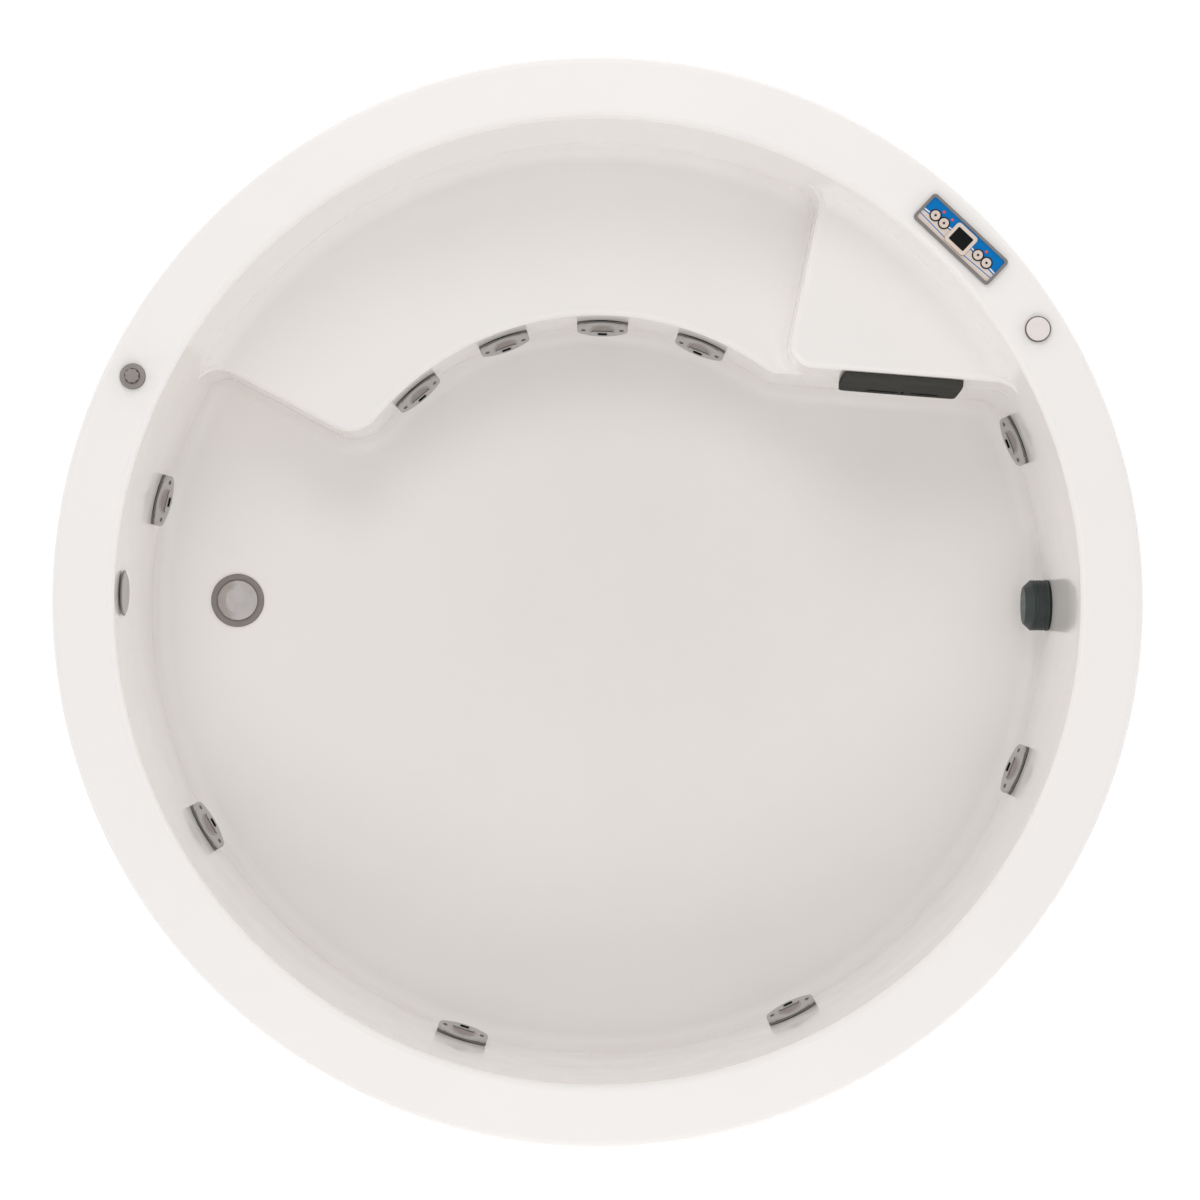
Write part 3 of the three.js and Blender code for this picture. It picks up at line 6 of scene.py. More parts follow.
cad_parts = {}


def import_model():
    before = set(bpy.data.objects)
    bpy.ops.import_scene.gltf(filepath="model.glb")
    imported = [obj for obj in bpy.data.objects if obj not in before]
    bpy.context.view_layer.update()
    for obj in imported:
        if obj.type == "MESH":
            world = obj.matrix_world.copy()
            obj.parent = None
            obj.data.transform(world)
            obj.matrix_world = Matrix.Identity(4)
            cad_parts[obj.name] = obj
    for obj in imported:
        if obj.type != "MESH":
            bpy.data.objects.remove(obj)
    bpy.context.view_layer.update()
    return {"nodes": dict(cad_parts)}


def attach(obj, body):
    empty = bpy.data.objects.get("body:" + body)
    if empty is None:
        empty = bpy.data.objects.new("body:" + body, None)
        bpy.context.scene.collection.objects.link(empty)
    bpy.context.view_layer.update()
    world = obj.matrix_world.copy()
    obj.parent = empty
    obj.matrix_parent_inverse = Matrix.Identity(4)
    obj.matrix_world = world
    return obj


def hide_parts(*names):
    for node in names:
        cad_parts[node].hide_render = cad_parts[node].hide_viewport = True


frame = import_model()

# Sizes in metres: +Z up, the bench towards +Y, origin on the ground under the middle of the tub
DEGREE = math.pi / 180
FULL_TURN = 2 * math.pi
GAP = 0.0003

RIM_RADIUS = 0.9
RIM_LEVEL = 0.66
PLATFORM_LEVEL = 0.51
SEAT_LEVEL = 0.39
FLOOR_LEVEL = 0.2
WALL_RADIUS = 0.798
SHELL_WALL = 0.007
WALL_DRAFT = 2.5 * DEGREE
BENCH_END_DRAFT = 1 * DEGREE
LIP_DEPTH = 0.045
RIM_EDGE_ROUNDING = 0.012
RIM_MOUTH_ROUNDING = 0.014
STEP_ROUNDING = 0.01
COVE = 0.03

BENCH_FRONT_RADIUS = 0.496
BENCH_END = (0.053, 61.8 * DEGREE)
PLATFORM_FRONT = (0.424, 85.5 * DEGREE)
PLATFORM_SIDE = (0.23, -11.8 * DEGREE)
BENCH_NOSE_ROUNDING = 0.06
BENCH_END_CORNER = 0.046
BENCH_BEND_ROUNDING = 0.06
FRONT_CORNER = 0.045
PLATFORM_NOSE_ROUNDING = 0.038
PLATFORM_SIDE_CORNER = 0.044

MOUTH_SPREAD = 0.034
LIP_INNER_ROUNDING = 0.005
LIP_FOOT_ROUNDINGS = (0.002, 0.0025)
UPPER_CLEARANCE = 0.02
BEYOND_RIM = 0.92
ABOVE_RIM = 0.68

ROUND_STEPS = 240
ARC_STEP = FULL_TURN / ROUND_STEPS
CORNER_STEPS = 14
INSIDE_STEPS = (10, 8)
OUTSIDE_STEPS = (4, 2)
PAST_WALL = 0.0001
PAST_FLOOR = 0.0001
SPREAD_RISE = 0.012

TOUCHING = 0.000001
MERGE_DISTANCE = 0.000002
SMOOTH_ANGLE = 32 * DEGREE

TAN_DRAFT = math.tan(WALL_DRAFT)


def wall_at(level):
    return WALL_RADIUS - (RIM_LEVEL - level) * TAN_DRAFT


def bench_front_at(level):
    return BENCH_FRONT_RADIUS - (SEAT_LEVEL - level) * TAN_DRAFT


def front_distance_at(level):
    return PLATFORM_FRONT[0] - (PLATFORM_LEVEL - level) * TAN_DRAFT


def polar(radius, angle, level=0.0):
    return Vector((radius * math.cos(angle), radius * math.sin(angle), level))


def facing(point, look, up):
    """A place whose Z looks along a direction and whose Y is as near as it can be to a second one."""
    z = Vector(look).normalized()
    x = Vector(up).cross(z).normalized()
    y = z.cross(x)
    return Matrix.Translation(point) @ Matrix((x, y, z)).transposed().to_4x4()


UPRIGHT = Vector((0, 0, 1))


def shifted(x, y=0, z=0):
    return Matrix.Translation((x, y, z))


def on_drafted_wall(point, angle):
    """A place on a wall that leans back by the draft and is turned towards the middle."""
    return facing(point, -polar(math.cos(WALL_DRAFT), angle, -math.sin(WALL_DRAFT)), UPRIGHT)


def wall_place(radius, angle, level):
    return on_drafted_wall(polar(radius, angle, level), angle)


def rim_place(radius, angle, turn):
    return facing(polar(radius, angle, RIM_LEVEL), UPRIGHT, polar(1, turn + math.pi / 2))


# Making pieces

def added(thing):
    bpy.context.scene.collection.objects.link(thing)
    return thing


def choose(*pieces):
    bpy.ops.object.select_all(action="DESELECT")
    for piece in pieces:
        piece.select_set(True)
    bpy.context.view_layer.objects.active = pieces[0]


def edit(piece):
    choose(piece)
    bpy.ops.object.mode_set(mode="EDIT")


def leave_edit():
    bpy.ops.object.mode_set(mode="OBJECT")


def rounded(corners, closed=False, steps=6):
    """Corner points (x, y, rounding) with each rounding drawn as an arc."""
    points = []
    count = len(corners)
    for index, corner in enumerate(corners):
        here = Vector(corner[:2])
        rounding = corner[2] if len(corner) > 2 else 0
        if not rounding or (not closed and index in (0, count - 1)):
            points.append(here)
            continue
        back = (Vector(corners[index - 1][:2]) - here).normalized()
        ahead = (Vector(corners[(index + 1) % count][:2]) - here).normalized()
        half = back.angle(ahead) / 2
        centre = here + (back + ahead).normalized() * rounding / math.sin(half)
        start = here + back * rounding / math.tan(half) - centre
        cross = back.x * ahead.y - back.y * ahead.x
        turn = -math.copysign(math.pi - 2 * half, cross)
        for step in range(steps + 1):
            share = turn * step / steps
            points.append(centre + Vector(turned_about_z(start.x, start.y, share)))
    return points


def drawn_line(name, points, closed=False):
    """A line of edges drawn from corner to corner, left selected in edit mode."""
    bpy.ops.object.select_all(action="DESELECT")
    bpy.ops.mesh.primitive_plane_add(size=0.01, location=points[0])
    piece = bpy.context.object
    piece.name = name
    bpy.ops.object.transform_apply(location=True, rotation=True, scale=True)
    bpy.ops.object.mode_set(mode="EDIT")
    bpy.ops.mesh.select_mode(type="VERT")
    bpy.ops.mesh.select_all(action="SELECT")
    bpy.ops.mesh.merge(type="CENTER")
    for before, after in zip(points, points[1:]):
        step = Vector(after) - Vector(before)
        bpy.ops.mesh.extrude_vertices_move(TRANSFORM_OT_translate={"value": step})
    bpy.ops.mesh.select_all(action="SELECT")
    if closed:
        bpy.ops.mesh.edge_face_add()
    return piece


def cleaned():
    bpy.ops.mesh.select_all(action="SELECT")
    bpy.ops.mesh.remove_doubles(threshold=MERGE_DISTANCE)
    bpy.ops.mesh.normals_make_consistent(inside=False)


def closed_up(piece):
    cleaned()
    leave_edit()
    return piece


def spun(piece, steps, angle=FULL_TURN):
    bpy.ops.mesh.spin(steps=steps, angle=angle, center=(0, 0, 0), axis=(0, 0, 1))
    return closed_up(piece)


def raise_by(height):
    bpy.ops.mesh.extrude_region_move(TRANSFORM_OT_translate={"value": (0, 0, height)})


def turned(name, profile, segments=64, closed=False, steps=6):
    """A body turned about Z from a profile of (radius, height, rounding), closed or led to the axis at its ends."""
    if not closed:
        profile = [(0, profile[0][1]), *profile, *([(0, profile[-1][1])] if profile[-1][0] else [])]
    points = rounded(profile, closed, steps)
    if closed:
        points.append(points[0])
    return spun(drawn_line(name, [Vector((max(point.x, 0), 0, point.y)) for point in points]), segments)


def plate(name, outline, low, high, steps=6):
    """A flat outline of (x, y, rounding) raised along Z."""
    points = [Vector((point.x, point.y, low)) for point in rounded(outline, True, steps)]
    piece = drawn_line(name, points, closed=True)
    raise_by(high - low)
    return closed_up(piece)


def rectangle(length, width, rounding=0.0, x=0.0, y=0.0):
    return [(x - length / 2, y - width / 2, rounding), (x + length / 2, y - width / 2, rounding),
            (x + length / 2, y + width / 2, rounding), (x - length / 2, y + width / 2, rounding)]


def pick_edges(piece, test):
    """Selects, in edit mode, the edges whose two ends and length pass a test."""
    bpy.ops.mesh.select_mode(type="EDGE")
    bpy.ops.mesh.select_all(action="DESELECT")
    body = bmesh.from_edit_mesh(piece.data)
    for edge in body.edges:
        if test(edge.verts[0].co, edge.verts[1].co):
            edge.select_set(True)
    bmesh.update_edit_mesh(piece.data)


def round_edges(piece, width, segments, test):
    edit(piece)
    pick_edges(piece, test)
    bpy.ops.mesh.bevel(offset_type="OFFSET", offset=width, segments=segments, profile=0.5, affect="EDGES")
    leave_edit()


def at_height(height):
    return lambda a, b: abs(a.z - height) < TOUCHING and abs(b.z - height) < TOUCHING


def finish_with(piece, kind, **settings):
    """Adds a modifier with its settings and applies it."""
    choose(piece)
    modifier = piece.modifiers.new(kind, kind)
    for key, value in settings.items():
        setattr(modifier, key, value)
    bpy.ops.object.modifier_apply(modifier=modifier.name)


def carve(piece, tool, operation="DIFFERENCE"):
    """Cuts a tool out of a piece, or joins it on, and removes the tool."""
    finish_with(piece, "BOOLEAN", operation=operation, solver="EXACT", object=tool)
    bpy.data.objects.remove(tool, do_unlink=True)
    edit(piece)
    closed_up(piece)


def join(pieces, name):
    choose(*pieces)
    bpy.ops.object.join()
    whole = bpy.context.object
    whole.name = name
    return whole


def settle(piece, place):
    """Puts a piece modelled at the origin in its place, and the place into its mesh."""
    choose(piece)
    piece.matrix_world = place
    bpy.ops.object.transform_apply(location=True, rotation=True, scale=True)
    return piece


def copy_of(piece, name):
    twin = piece.copy()
    twin.data = piece.data.copy()
    twin.name = name
    return added(twin)


def smooth(piece):
    choose(piece)
    bpy.ops.object.shade_smooth_by_angle(angle=SMOOTH_ANGLE)
    finish_with(piece, "WEIGHTED_NORMAL", keep_sharp=True)


def paint(piece, *finishes):
    piece.data.materials.clear()
    for finish in finishes:
        piece.data.materials.append(finish)


def paint_faces(piece, slot, test):
    for face in piece.data.polygons:
        if test(face.center, face.normal):
            face.material_index = slot


def stands_for(piece, node, body):
    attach(piece, body)
    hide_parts(node)


def fitted(piece, finish, node, place=None, body="tub"):
    """Settles, paints and smooths a piece that stands for a CAD node. Without a finish it keeps its paint."""
    if place:
        settle(piece, place)
    if finish:
        paint(piece, finish)
    smooth(piece)
    stands_for(piece, node, body)


def on_circle(radius, turn):
    return (radius * math.cos(turn), radius * math.sin(turn))


def turned_about_z(x, y, turn):
    return (x * math.cos(turn) - y * math.sin(turn), x * math.sin(turn) + y * math.cos(turn))


# Node groups shared by the finishes

SOCKET_KINDS = {3: "NodeSocketVector", 4: "NodeSocketColor"}


def new_group(name, inputs, outputs):
    """A node group whose sockets are given as name and first value, which also tells their kind."""
    group = bpy.data.node_groups.new(name, "ShaderNodeTree")
    for in_out, sockets in (("INPUT", inputs), ("OUTPUT", outputs)):
        for label, value in sockets.items():
            kind = SOCKET_KINDS[len(value)] if isinstance(value, tuple) else "NodeSocketFloat"
            socket = group.interface.new_socket(name=label, in_out=in_out, socket_type=kind)
            if in_out == "INPUT":
                socket.default_value = value
    return group, group.nodes.new("NodeGroupInput").outputs, group.nodes.new("NodeGroupOutput").inputs


def wired(tree, kind, inputs=None, **settings):
    """A node with its settings, whose inputs are given by name or number as a value or as a socket to link."""
    node = tree.nodes.new(kind)
    for key, value in settings.items():
        setattr(node, key, value)
    for label, given in (inputs or {}).items():
        if isinstance(given, bpy.types.NodeSocket):
            tree.links.new(given, node.inputs[label])
        else:
            node.inputs[label].default_value = given
    return node


def object_place(tree):
    return wired(tree, "ShaderNodeTexCoord").outputs["Object"]


def object_noise(group, scale, detail, roughness=0.55, stretch=None):
    place = object_place(group)
    if stretch is not None:
        place = wired(group, "ShaderNodeMapping", {"Vector": place, "Scale": stretch}).outputs["Vector"]
    inputs = {"Vector": place, "Scale": scale, "Detail": detail, "Roughness": roughness}
    return wired(group, "ShaderNodeTexNoise", inputs).outputs["Fac"]


def ranged(tree, value, low, high, to_low, to_high):
    inputs = {"Value": value, "From Min": low, "From Max": high, "To Min": to_low, "To Max": to_high}
    return wired(tree, "ShaderNodeMapRange", inputs).outputs["Result"]


def mixed(tree, factor, first, second):
    return wired(tree, "ShaderNodeMix", {0: factor, 6: first, 7: second}, data_type="RGBA").outputs[2]


def maths(tree, operation, *values):
    return wired(tree, "ShaderNodeMath", dict(enumerate(values)), operation=operation).outputs[0]


def tone_group():
    """Slow change of colour over a surface between two tones."""
    group, enter, leave = new_group("tone change", {
        "Colour": (1, 1, 1, 1), "Second": (0.5, 0.5, 0.5, 1), "Spread": 0.5, "Scale": 5.0}, {"Colour": (0, 0, 0, 1)})
    share = ranged(group, object_noise(group, enter["Scale"], 4), 0.35, 0.68, 0.0, enter["Spread"])
    group.links.new(mixed(group, share, enter["Colour"], enter["Second"]), leave["Colour"])
    return group


def gloss_group():
    """Uneven gloss: wiped, dried and slightly worn places."""
    group, enter, leave = new_group("uneven gloss", {"Low": 0.1, "High": 0.2, "Scale": 12.0}, {"Roughness": 0.0})
    noise = object_noise(group, enter["Scale"], 5, 0.65)
    group.links.new(ranged(group, noise, 0.3, 0.7, enter["Low"], enter["High"]), leave["Roughness"])
    return group


def grain_group():
    """Fine moulded grain, as a height."""
    group, enter, leave = new_group("moulded grain", {"Scale": 900.0, "Waves": 60.0, "Wave share": 0.3},
                                    {"Height": 0.0})
    fine, waves = object_noise(group, enter["Scale"], 2), object_noise(group, enter["Waves"], 1)
    mix = wired(group, "ShaderNodeMix", {0: enter["Wave share"], 2: fine, 3: waves})
    group.links.new(mix.outputs[0], leave["Height"])
    return group


def brushed_group():
    """Brushing or fine turning marks, drawn out along one direction, as a height and a mask."""
    group, enter, leave = new_group("brushing", {"Scale": 400.0, "Stretch": (1, 1, 0.05)},
                                    {"Height": 0.0, "Mask": 0.0})
    noise = object_noise(group, enter["Scale"], 3, 0.6, enter["Stretch"])
    group.links.new(noise, leave["Height"])
    group.links.new(ranged(group, noise, 0.42, 0.62, 0.0, 1.0), leave["Mask"])
    return group


def spots_group():
    """Small dried drops and specks, as a mask."""
    group, enter, leave = new_group("dried drops", {"Scale": 60.0, "Size": 0.18, "Amount": 0.5}, {"Mask": 0.0})
    cells = wired(group, "ShaderNodeTexVoronoi", {"Vector": object_place(group), "Scale": enter["Scale"]})
    spot = ranged(group, cells.outputs["Distance"], enter["Size"], 0.0, 0.0, enter["Amount"])
    patch = wired(group, "ShaderNodeTexNoise", {"Vector": object_place(group), "Scale": 7})
    patches = ranged(group, patch.outputs["Fac"], 0.5, 0.62, 0.0, 1.0)
    group.links.new(maths(group, "MULTIPLY", spot, patches), leave["Mask"])
    return group


def band_group():
    """A straight band along a face, bent at the face's middle line, as a mask."""
    group, enter, leave = new_group("bent band", {
        "Place": (0, 0, 0), "Middle": 0.0, "Half width": 0.002, "Slope": 0.1}, {"Mask": 0.0})
    x, y, _ = wired(group, "ShaderNodeSeparateXYZ", {"Vector": enter["Place"]}).outputs
    level = maths(group, "ADD", y, maths(group, "MULTIPLY", maths(group, "ABSOLUTE", x), enter["Slope"]))
    away = maths(group, "ABSOLUTE", maths(group, "SUBTRACT", level, enter["Middle"]))
    past_edge = maths(group, "SUBTRACT", away, enter["Half width"])
    group.links.new(ranged(group, past_edge, 0.0, -0.0002, 0.0, 1.0), leave["Mask"])
    return group


TONE = tone_group()
GLOSS = gloss_group()
GRAIN = grain_group()
BRUSHED = brushed_group()
SPOTS = spots_group()
BAND = band_group()


class Finish:
    """One material: a Principled shader fed by the shared groups."""

    def __init__(self, name, metallic=0.0, coat=0.0, coat_roughness=0.04, specular=0.5):
        self.material = bpy.data.materials.new(name)
        self.material.use_nodes = True
        self.tree = self.material.node_tree
        self.inputs = self.tree.nodes["Principled BSDF"].inputs
        self.set({"Metallic": metallic, "Coat Weight": coat, "Coat Roughness": coat_roughness,
                  "Specular IOR Level": specular})

    def set(self, values):
        for label, value in values.items():
            self.inputs[label].default_value = value

    def group(self, tree, *values):
        """A shared group with its values in the order of its sockets."""
        return wired(self.tree, "ShaderNodeGroup", dict(enumerate(values)), node_tree=tree).outputs

    def colour(self, first, second, spread, scale):
        self.take_colour(self.group(TONE, (*first, 1), (*second, 1), spread, scale)["Colour"])

    def take_colour(self, socket):
        self.last_colour = socket
        self.tree.links.new(socket, self.inputs["Base Color"])

    def tint(self, mask, tint):
        self.take_colour(mixed(self.tree, mask, self.last_colour, (*tint, 1)))

    def gloss(self, low, high, scale):
        self.tree.links.new(self.group(GLOSS, low, high, scale)["Roughness"], self.inputs["Roughness"])

    def spots(self, scale, size, amount, tint):
        self.tint(self.group(SPOTS, scale, size, amount)["Mask"], tint)

    def bump(self, height, strength, distance):
        inputs = {"Strength": strength, "Distance": distance, "Height": height}
        self.tree.links.new(wired(self.tree, "ShaderNodeBump", inputs).outputs["Normal"], self.inputs["Normal"])

    def grain(self, scale, waves, wave_share, strength, distance):
        self.bump(self.group(GRAIN, scale, waves, wave_share)["Height"], strength, distance)

    def brushing(self, scale, stretch, strength, distance, darker):
        brushed = self.group(BRUSHED, scale, stretch)
        self.bump(brushed["Height"], strength, distance)
        self.tint(brushed["Mask"], darker)


def tone(red, green, blue):
    """A colour as read from the photograph, made linear."""
    def line(value):
        share = value / 255
        return share / 12.92 if share <= 0.04045 else ((share + 0.055) / 1.055) ** 2.4
    return (line(red), line(green), line(blue))


def made(name, first, second, spread, scale, gloss, grain=None, spots=None, brushing=None, **values):
    """A material of two tones, with gloss and, where it has them, dried drops, brushing and grain."""
    finish = Finish(name, **values)
    finish.colour(tone(*first), tone(*second), spread, scale)
    if spots:
        finish.spots(*spots)
    if brushing:
        finish.brushing(*brushing)
    finish.gloss(*gloss)
    if grain:
        finish.grain(*grain)
    return finish.material


def satin(name, first, second, darker, metallic=0.12):
    return made(name, first, second, 0.7, 60, (0.32, 0.45, 150), metallic=metallic,
                brushing=(1400, (1, 1, 0.08), 0.12, 0.0002, tone(*darker)))


def moulded(name, first, second, low=0.38, high=0.52, grain=0.25, **values):
    drops = tuple(min(1, value * 1.6 + 0.02) for value in tone(*first))
    return made(name, first, second, 0.6, 40, (low, high, 70), (2600, 500, 0.35, grain, 0.0002),
                (400, 0.16, 0.25, drops), **values)


# Bands of the panel's face: middle, half width, slope and colour
BAND_BLUE = (0, 116, 188)
PANEL_BANDS = [(0.0185, 0.014, 0.09, BAND_BLUE), (0.0034, 0.0011, 0.09, (238, 235, 231)),
               (0.0011, 0.0012, 0.09, BAND_BLUE), (-0.0175, 0.0009, -0.05, BAND_BLUE)]


def panel_face_finish(place):
    """Beige panel face with plain straight bands, read in the panel's own place."""
    finish = Finish("panel face", specular=0.15)
    finish.colour(tone(226, 211, 200), tone(219, 204, 193), 0.6, 30)
    inputs = {"Vector": object_place(finish.tree), "Location": place.to_translation(), "Rotation": place.to_euler()}
    own = wired(finish.tree, "ShaderNodeMapping", inputs, vector_type="TEXTURE").outputs["Vector"]
    for middle, half_width, slope, colour in PANEL_BANDS:
        finish.tint(finish.group(BAND, own, middle, half_width, slope)["Mask"], tone(*colour))
    finish.gloss(0.3, 0.42, 120)
    finish.grain(2400, 500, 0.3, 0.12, 0.0001)
    return finish.material


def lamp_finish():
    finish = Finish("red lamp", coat=0.5)
    finish.colour(tone(190, 40, 34), tone(160, 26, 22), 0.5, 300)
    finish.gloss(0.1, 0.2, 300)
    finish.set({"Emission Color": (*tone(220, 40, 30), 1), "Emission Strength": 0.6})
    return finish.material


ACRYLIC = made("glossy white acrylic", (247, 243, 240), (244, 240, 237), 0.6, 3.5, (0.12, 0.2, 9),
               (700, 45, 0.9, 0.08, 0.0006), (90, 0.12, 0.1, tone(238, 233, 230)), coat=0.5, coat_roughness=0.05)
SATIN = satin("satin stainless steel", (190, 186, 184), (181, 177, 175), (171, 167, 165))
# Darker copies of the satin steel as painted shade: one for the jets' pockets, one for side walls, screw recesses,
# screw heads and the overflow disc's rim
SATIN_SHADE = satin("shaded satin steel", (158, 148, 144), (146, 136, 132), (136, 126, 122))
SATIN_EDGE_SHADE = satin("satin steel with painted edge shade", (128, 125, 121), (118, 115, 111), (110, 107, 104), 0.25)
WASTE_RING = satin("satin waste ring", (142, 134, 131), (133, 125, 122), (126, 119, 116), 0.4)
CHROME = made("satin chrome", (184, 179, 176), (160, 154, 151), 0.6, 25, (0.12, 0.24, 90),
              (2500, 300, 0.4, 0.05, 0.0001), (320, 0.2, 0.35, tone(205, 201, 197)), metallic=1.0)
GRAPHITE = moulded("graphite plastic", (50, 60, 59), (42, 50, 49))
COVER_GREY = moulded("dark grey cover plastic", (76, 75, 72), (68, 67, 64), 0.55, 0.65, specular=0.0)
BLACK = moulded("black plastic", (24, 24, 24), (32, 31, 30), specular=0.25)
GREY = moulded("grey plastic", (130, 125, 122), (118, 113, 110))
AIR_GREY = moulded("warm grey plastic", (150, 143, 139), (139, 132, 128))
RING_GREY = moulded("dark ring plastic", (104, 98, 96), (95, 90, 88))
CAP_WHITE = moulded("pinkish white plastic", (234, 226, 223), (229, 220, 217), 0.2, 0.3, 0.1, coat=0.3)
KEY_BEIGE = moulded("beige key plastic", (224, 208, 196), (216, 199, 187), 0.3, 0.4, 0.15)
GLASS_BLACK = moulded("black display window", (14, 15, 15), (20, 21, 20), 0.15, 0.22, 0.02, specular=0.1)
PIPE = made("white pipe plastic", (228, 228, 224), (214, 213, 206), 0.7, 8, (0.3, 0.45, 30),
            (900, 120, 0.5, 0.1, 0.0003), coat=0.2)
HOSE = moulded("grey air hose", (190, 195, 198), (176, 180, 183))
BOARD = made("sealed base board", (201, 182, 143), (176, 154, 114), 0.9, 4, (0.55, 0.75, 12),
             brushing=(90, (1, 0.06, 1), 0.3, 0.0006, tone(168, 145, 104)))
ZINC = made("zinc-coated steel", (170, 173, 176), (140, 144, 149), 0.9, 60, (0.35, 0.55, 40),
            (500, 60, 0.5, 0.12, 0.0003), (140, 0.35, 0.45, tone(190, 193, 196)), metallic=0.9)
RUBBER = made("black rubber", (38, 38, 38), (56, 55, 53), 0.7, 30, (0.65, 0.85, 60), (1800, 200, 0.4, 0.3, 0.0003))
MOTOR = made("painted motor", (44, 62, 82), (58, 75, 94), 0.6, 20, (0.35, 0.5, 40), (700, 90, 0.5, 0.2, 0.0003),
             coat=0.1)
LAMP_RED = lamp_finish()


# The shell: hollows of the footwell, the bench and the platform let into one round bowl

def line_at(distance, way, radius, side):
    along = side * math.sqrt(radius ** 2 - distance ** 2)
    return polar(distance, way) + polar(along, way + math.pi / 2)


def crossing(first, second):
    turn = math.sin(second[1] - first[1])
    x = (first[0] * math.sin(second[1]) - second[0] * math.sin(first[1])) / turn
    y = (second[0] * math.cos(first[1]) - first[0] * math.cos(second[1])) / turn
    return Vector((x, y, 0))


def angle_of(point):
    return math.atan2(point.y, point.x)


def past(angle, start):
    return angle + math.ceil((start - angle) / FULL_TURN) * FULL_TURN


# How a stretch of wall is shaped: its draft, and its shares of lip, cove and spread
WALL_LOOK = (WALL_DRAFT, 0, 1, 0)
BENCH_LOOK = (WALL_DRAFT, 1, 1, 0.3)
BENCH_END_LOOK = (BENCH_END_DRAFT, 1, 1, 0.3)
FRONT_LOOK = (WALL_DRAFT, 0, 1, -0.08)
PLATFORM_FRONT_LOOK = (WALL_DRAFT, 1, 0.02, 0.3)
PLATFORM_SIDE_LOOK = (WALL_DRAFT, 1, 1, 0.3)


def arc(centre, radius, start, end, way, look, next_look=None):
    """Points of an arc, each with its place, its way into the material and how its wall is shaped."""
    next_look = next_look or look
    if centre.length > 0:
        angles = [start + (end - start) * step / CORNER_STEPS for step in range(CORNER_STEPS + 1)]
    else:
        first = math.floor(start / ARC_STEP) + 1
        last = math.ceil(end / ARC_STEP) - 1
        angles = [start] + [step * ARC_STEP for step in range(first, last + 1)] + [end]
    points = []
    for angle in angles:
        share = (angle - start) / (end - start)
        mix = tuple(a + (b - a) * share for a, b in zip(look, next_look))
        points.append((polar(radius, angle) + centre, polar(way, angle), mix))
    return points


MIDDLE = Vector()


def hollow_outline(wall, front, rounding, front_look, between, side, side_corner, side_look):
    """Round the wall to the front line, along it over the arcs in between, and back by the side line."""
    corner = line_at(front - rounding, PLATFORM_FRONT[1], wall - rounding, -1)
    end = line_at(side[0] - side_corner, side[1], wall - side_corner, 1)
    return (arc(MIDDLE, wall, angle_of(end), past(angle_of(corner), angle_of(end)), 1, WALL_LOOK)
            + arc(corner, rounding, angle_of(corner), PLATFORM_FRONT[1], 1, WALL_LOOK, front_look)[1:]
            + between
            + arc(end, side_corner, side[1], angle_of(end), 1, side_look, WALL_LOOK)[:-1])


def footwell_outline():
    front, way = front_distance_at(SEAT_LEVEL), PLATFORM_FRONT[1]
    end_distance, end_way = BENCH_END
    bend = line_at(front + BENCH_BEND_ROUNDING, way, BENCH_FRONT_RADIUS + BENCH_BEND_ROUNDING, -1)
    nose = line_at(end_distance + BENCH_NOSE_ROUNDING, end_way, BENCH_FRONT_RADIUS + BENCH_NOSE_ROUNDING, 1)
    half = math.pi
    bench = (arc(bend, BENCH_BEND_ROUNDING, way + half, angle_of(bend) + half, -1, FRONT_LOOK, BENCH_LOOK)
             + arc(MIDDLE, BENCH_FRONT_RADIUS, angle_of(bend), angle_of(nose), 1, BENCH_LOOK)[1:-1]
             + arc(nose, BENCH_NOSE_ROUNDING, angle_of(nose) + half, end_way + half, -1, BENCH_LOOK, BENCH_END_LOOK))
    return hollow_outline(wall_at(SEAT_LEVEL) + PAST_WALL, front, FRONT_CORNER, FRONT_LOOK, bench, BENCH_END,
                          BENCH_END_CORNER, BENCH_END_LOOK)


def seat_outline():
    distance, way = PLATFORM_FRONT
    side_distance, side_way = PLATFORM_SIDE
    nose = crossing((distance + PLATFORM_NOSE_ROUNDING, way), (side_distance + PLATFORM_NOSE_ROUNDING, side_way))
    bend = arc(nose, PLATFORM_NOSE_ROUNDING, way + math.pi, side_way + math.pi, -1, PLATFORM_FRONT_LOOK,
               PLATFORM_SIDE_LOOK)
    rounding = FRONT_CORNER + (PLATFORM_LEVEL - SEAT_LEVEL) * TAN_DRAFT
    return hollow_outline(wall_at(PLATFORM_LEVEL) + 2 * PAST_WALL, distance, rounding, PLATFORM_FRONT_LOOK, bend,
                          PLATFORM_SIDE, PLATFORM_SIDE_CORNER, PLATFORM_SIDE_LOOK)


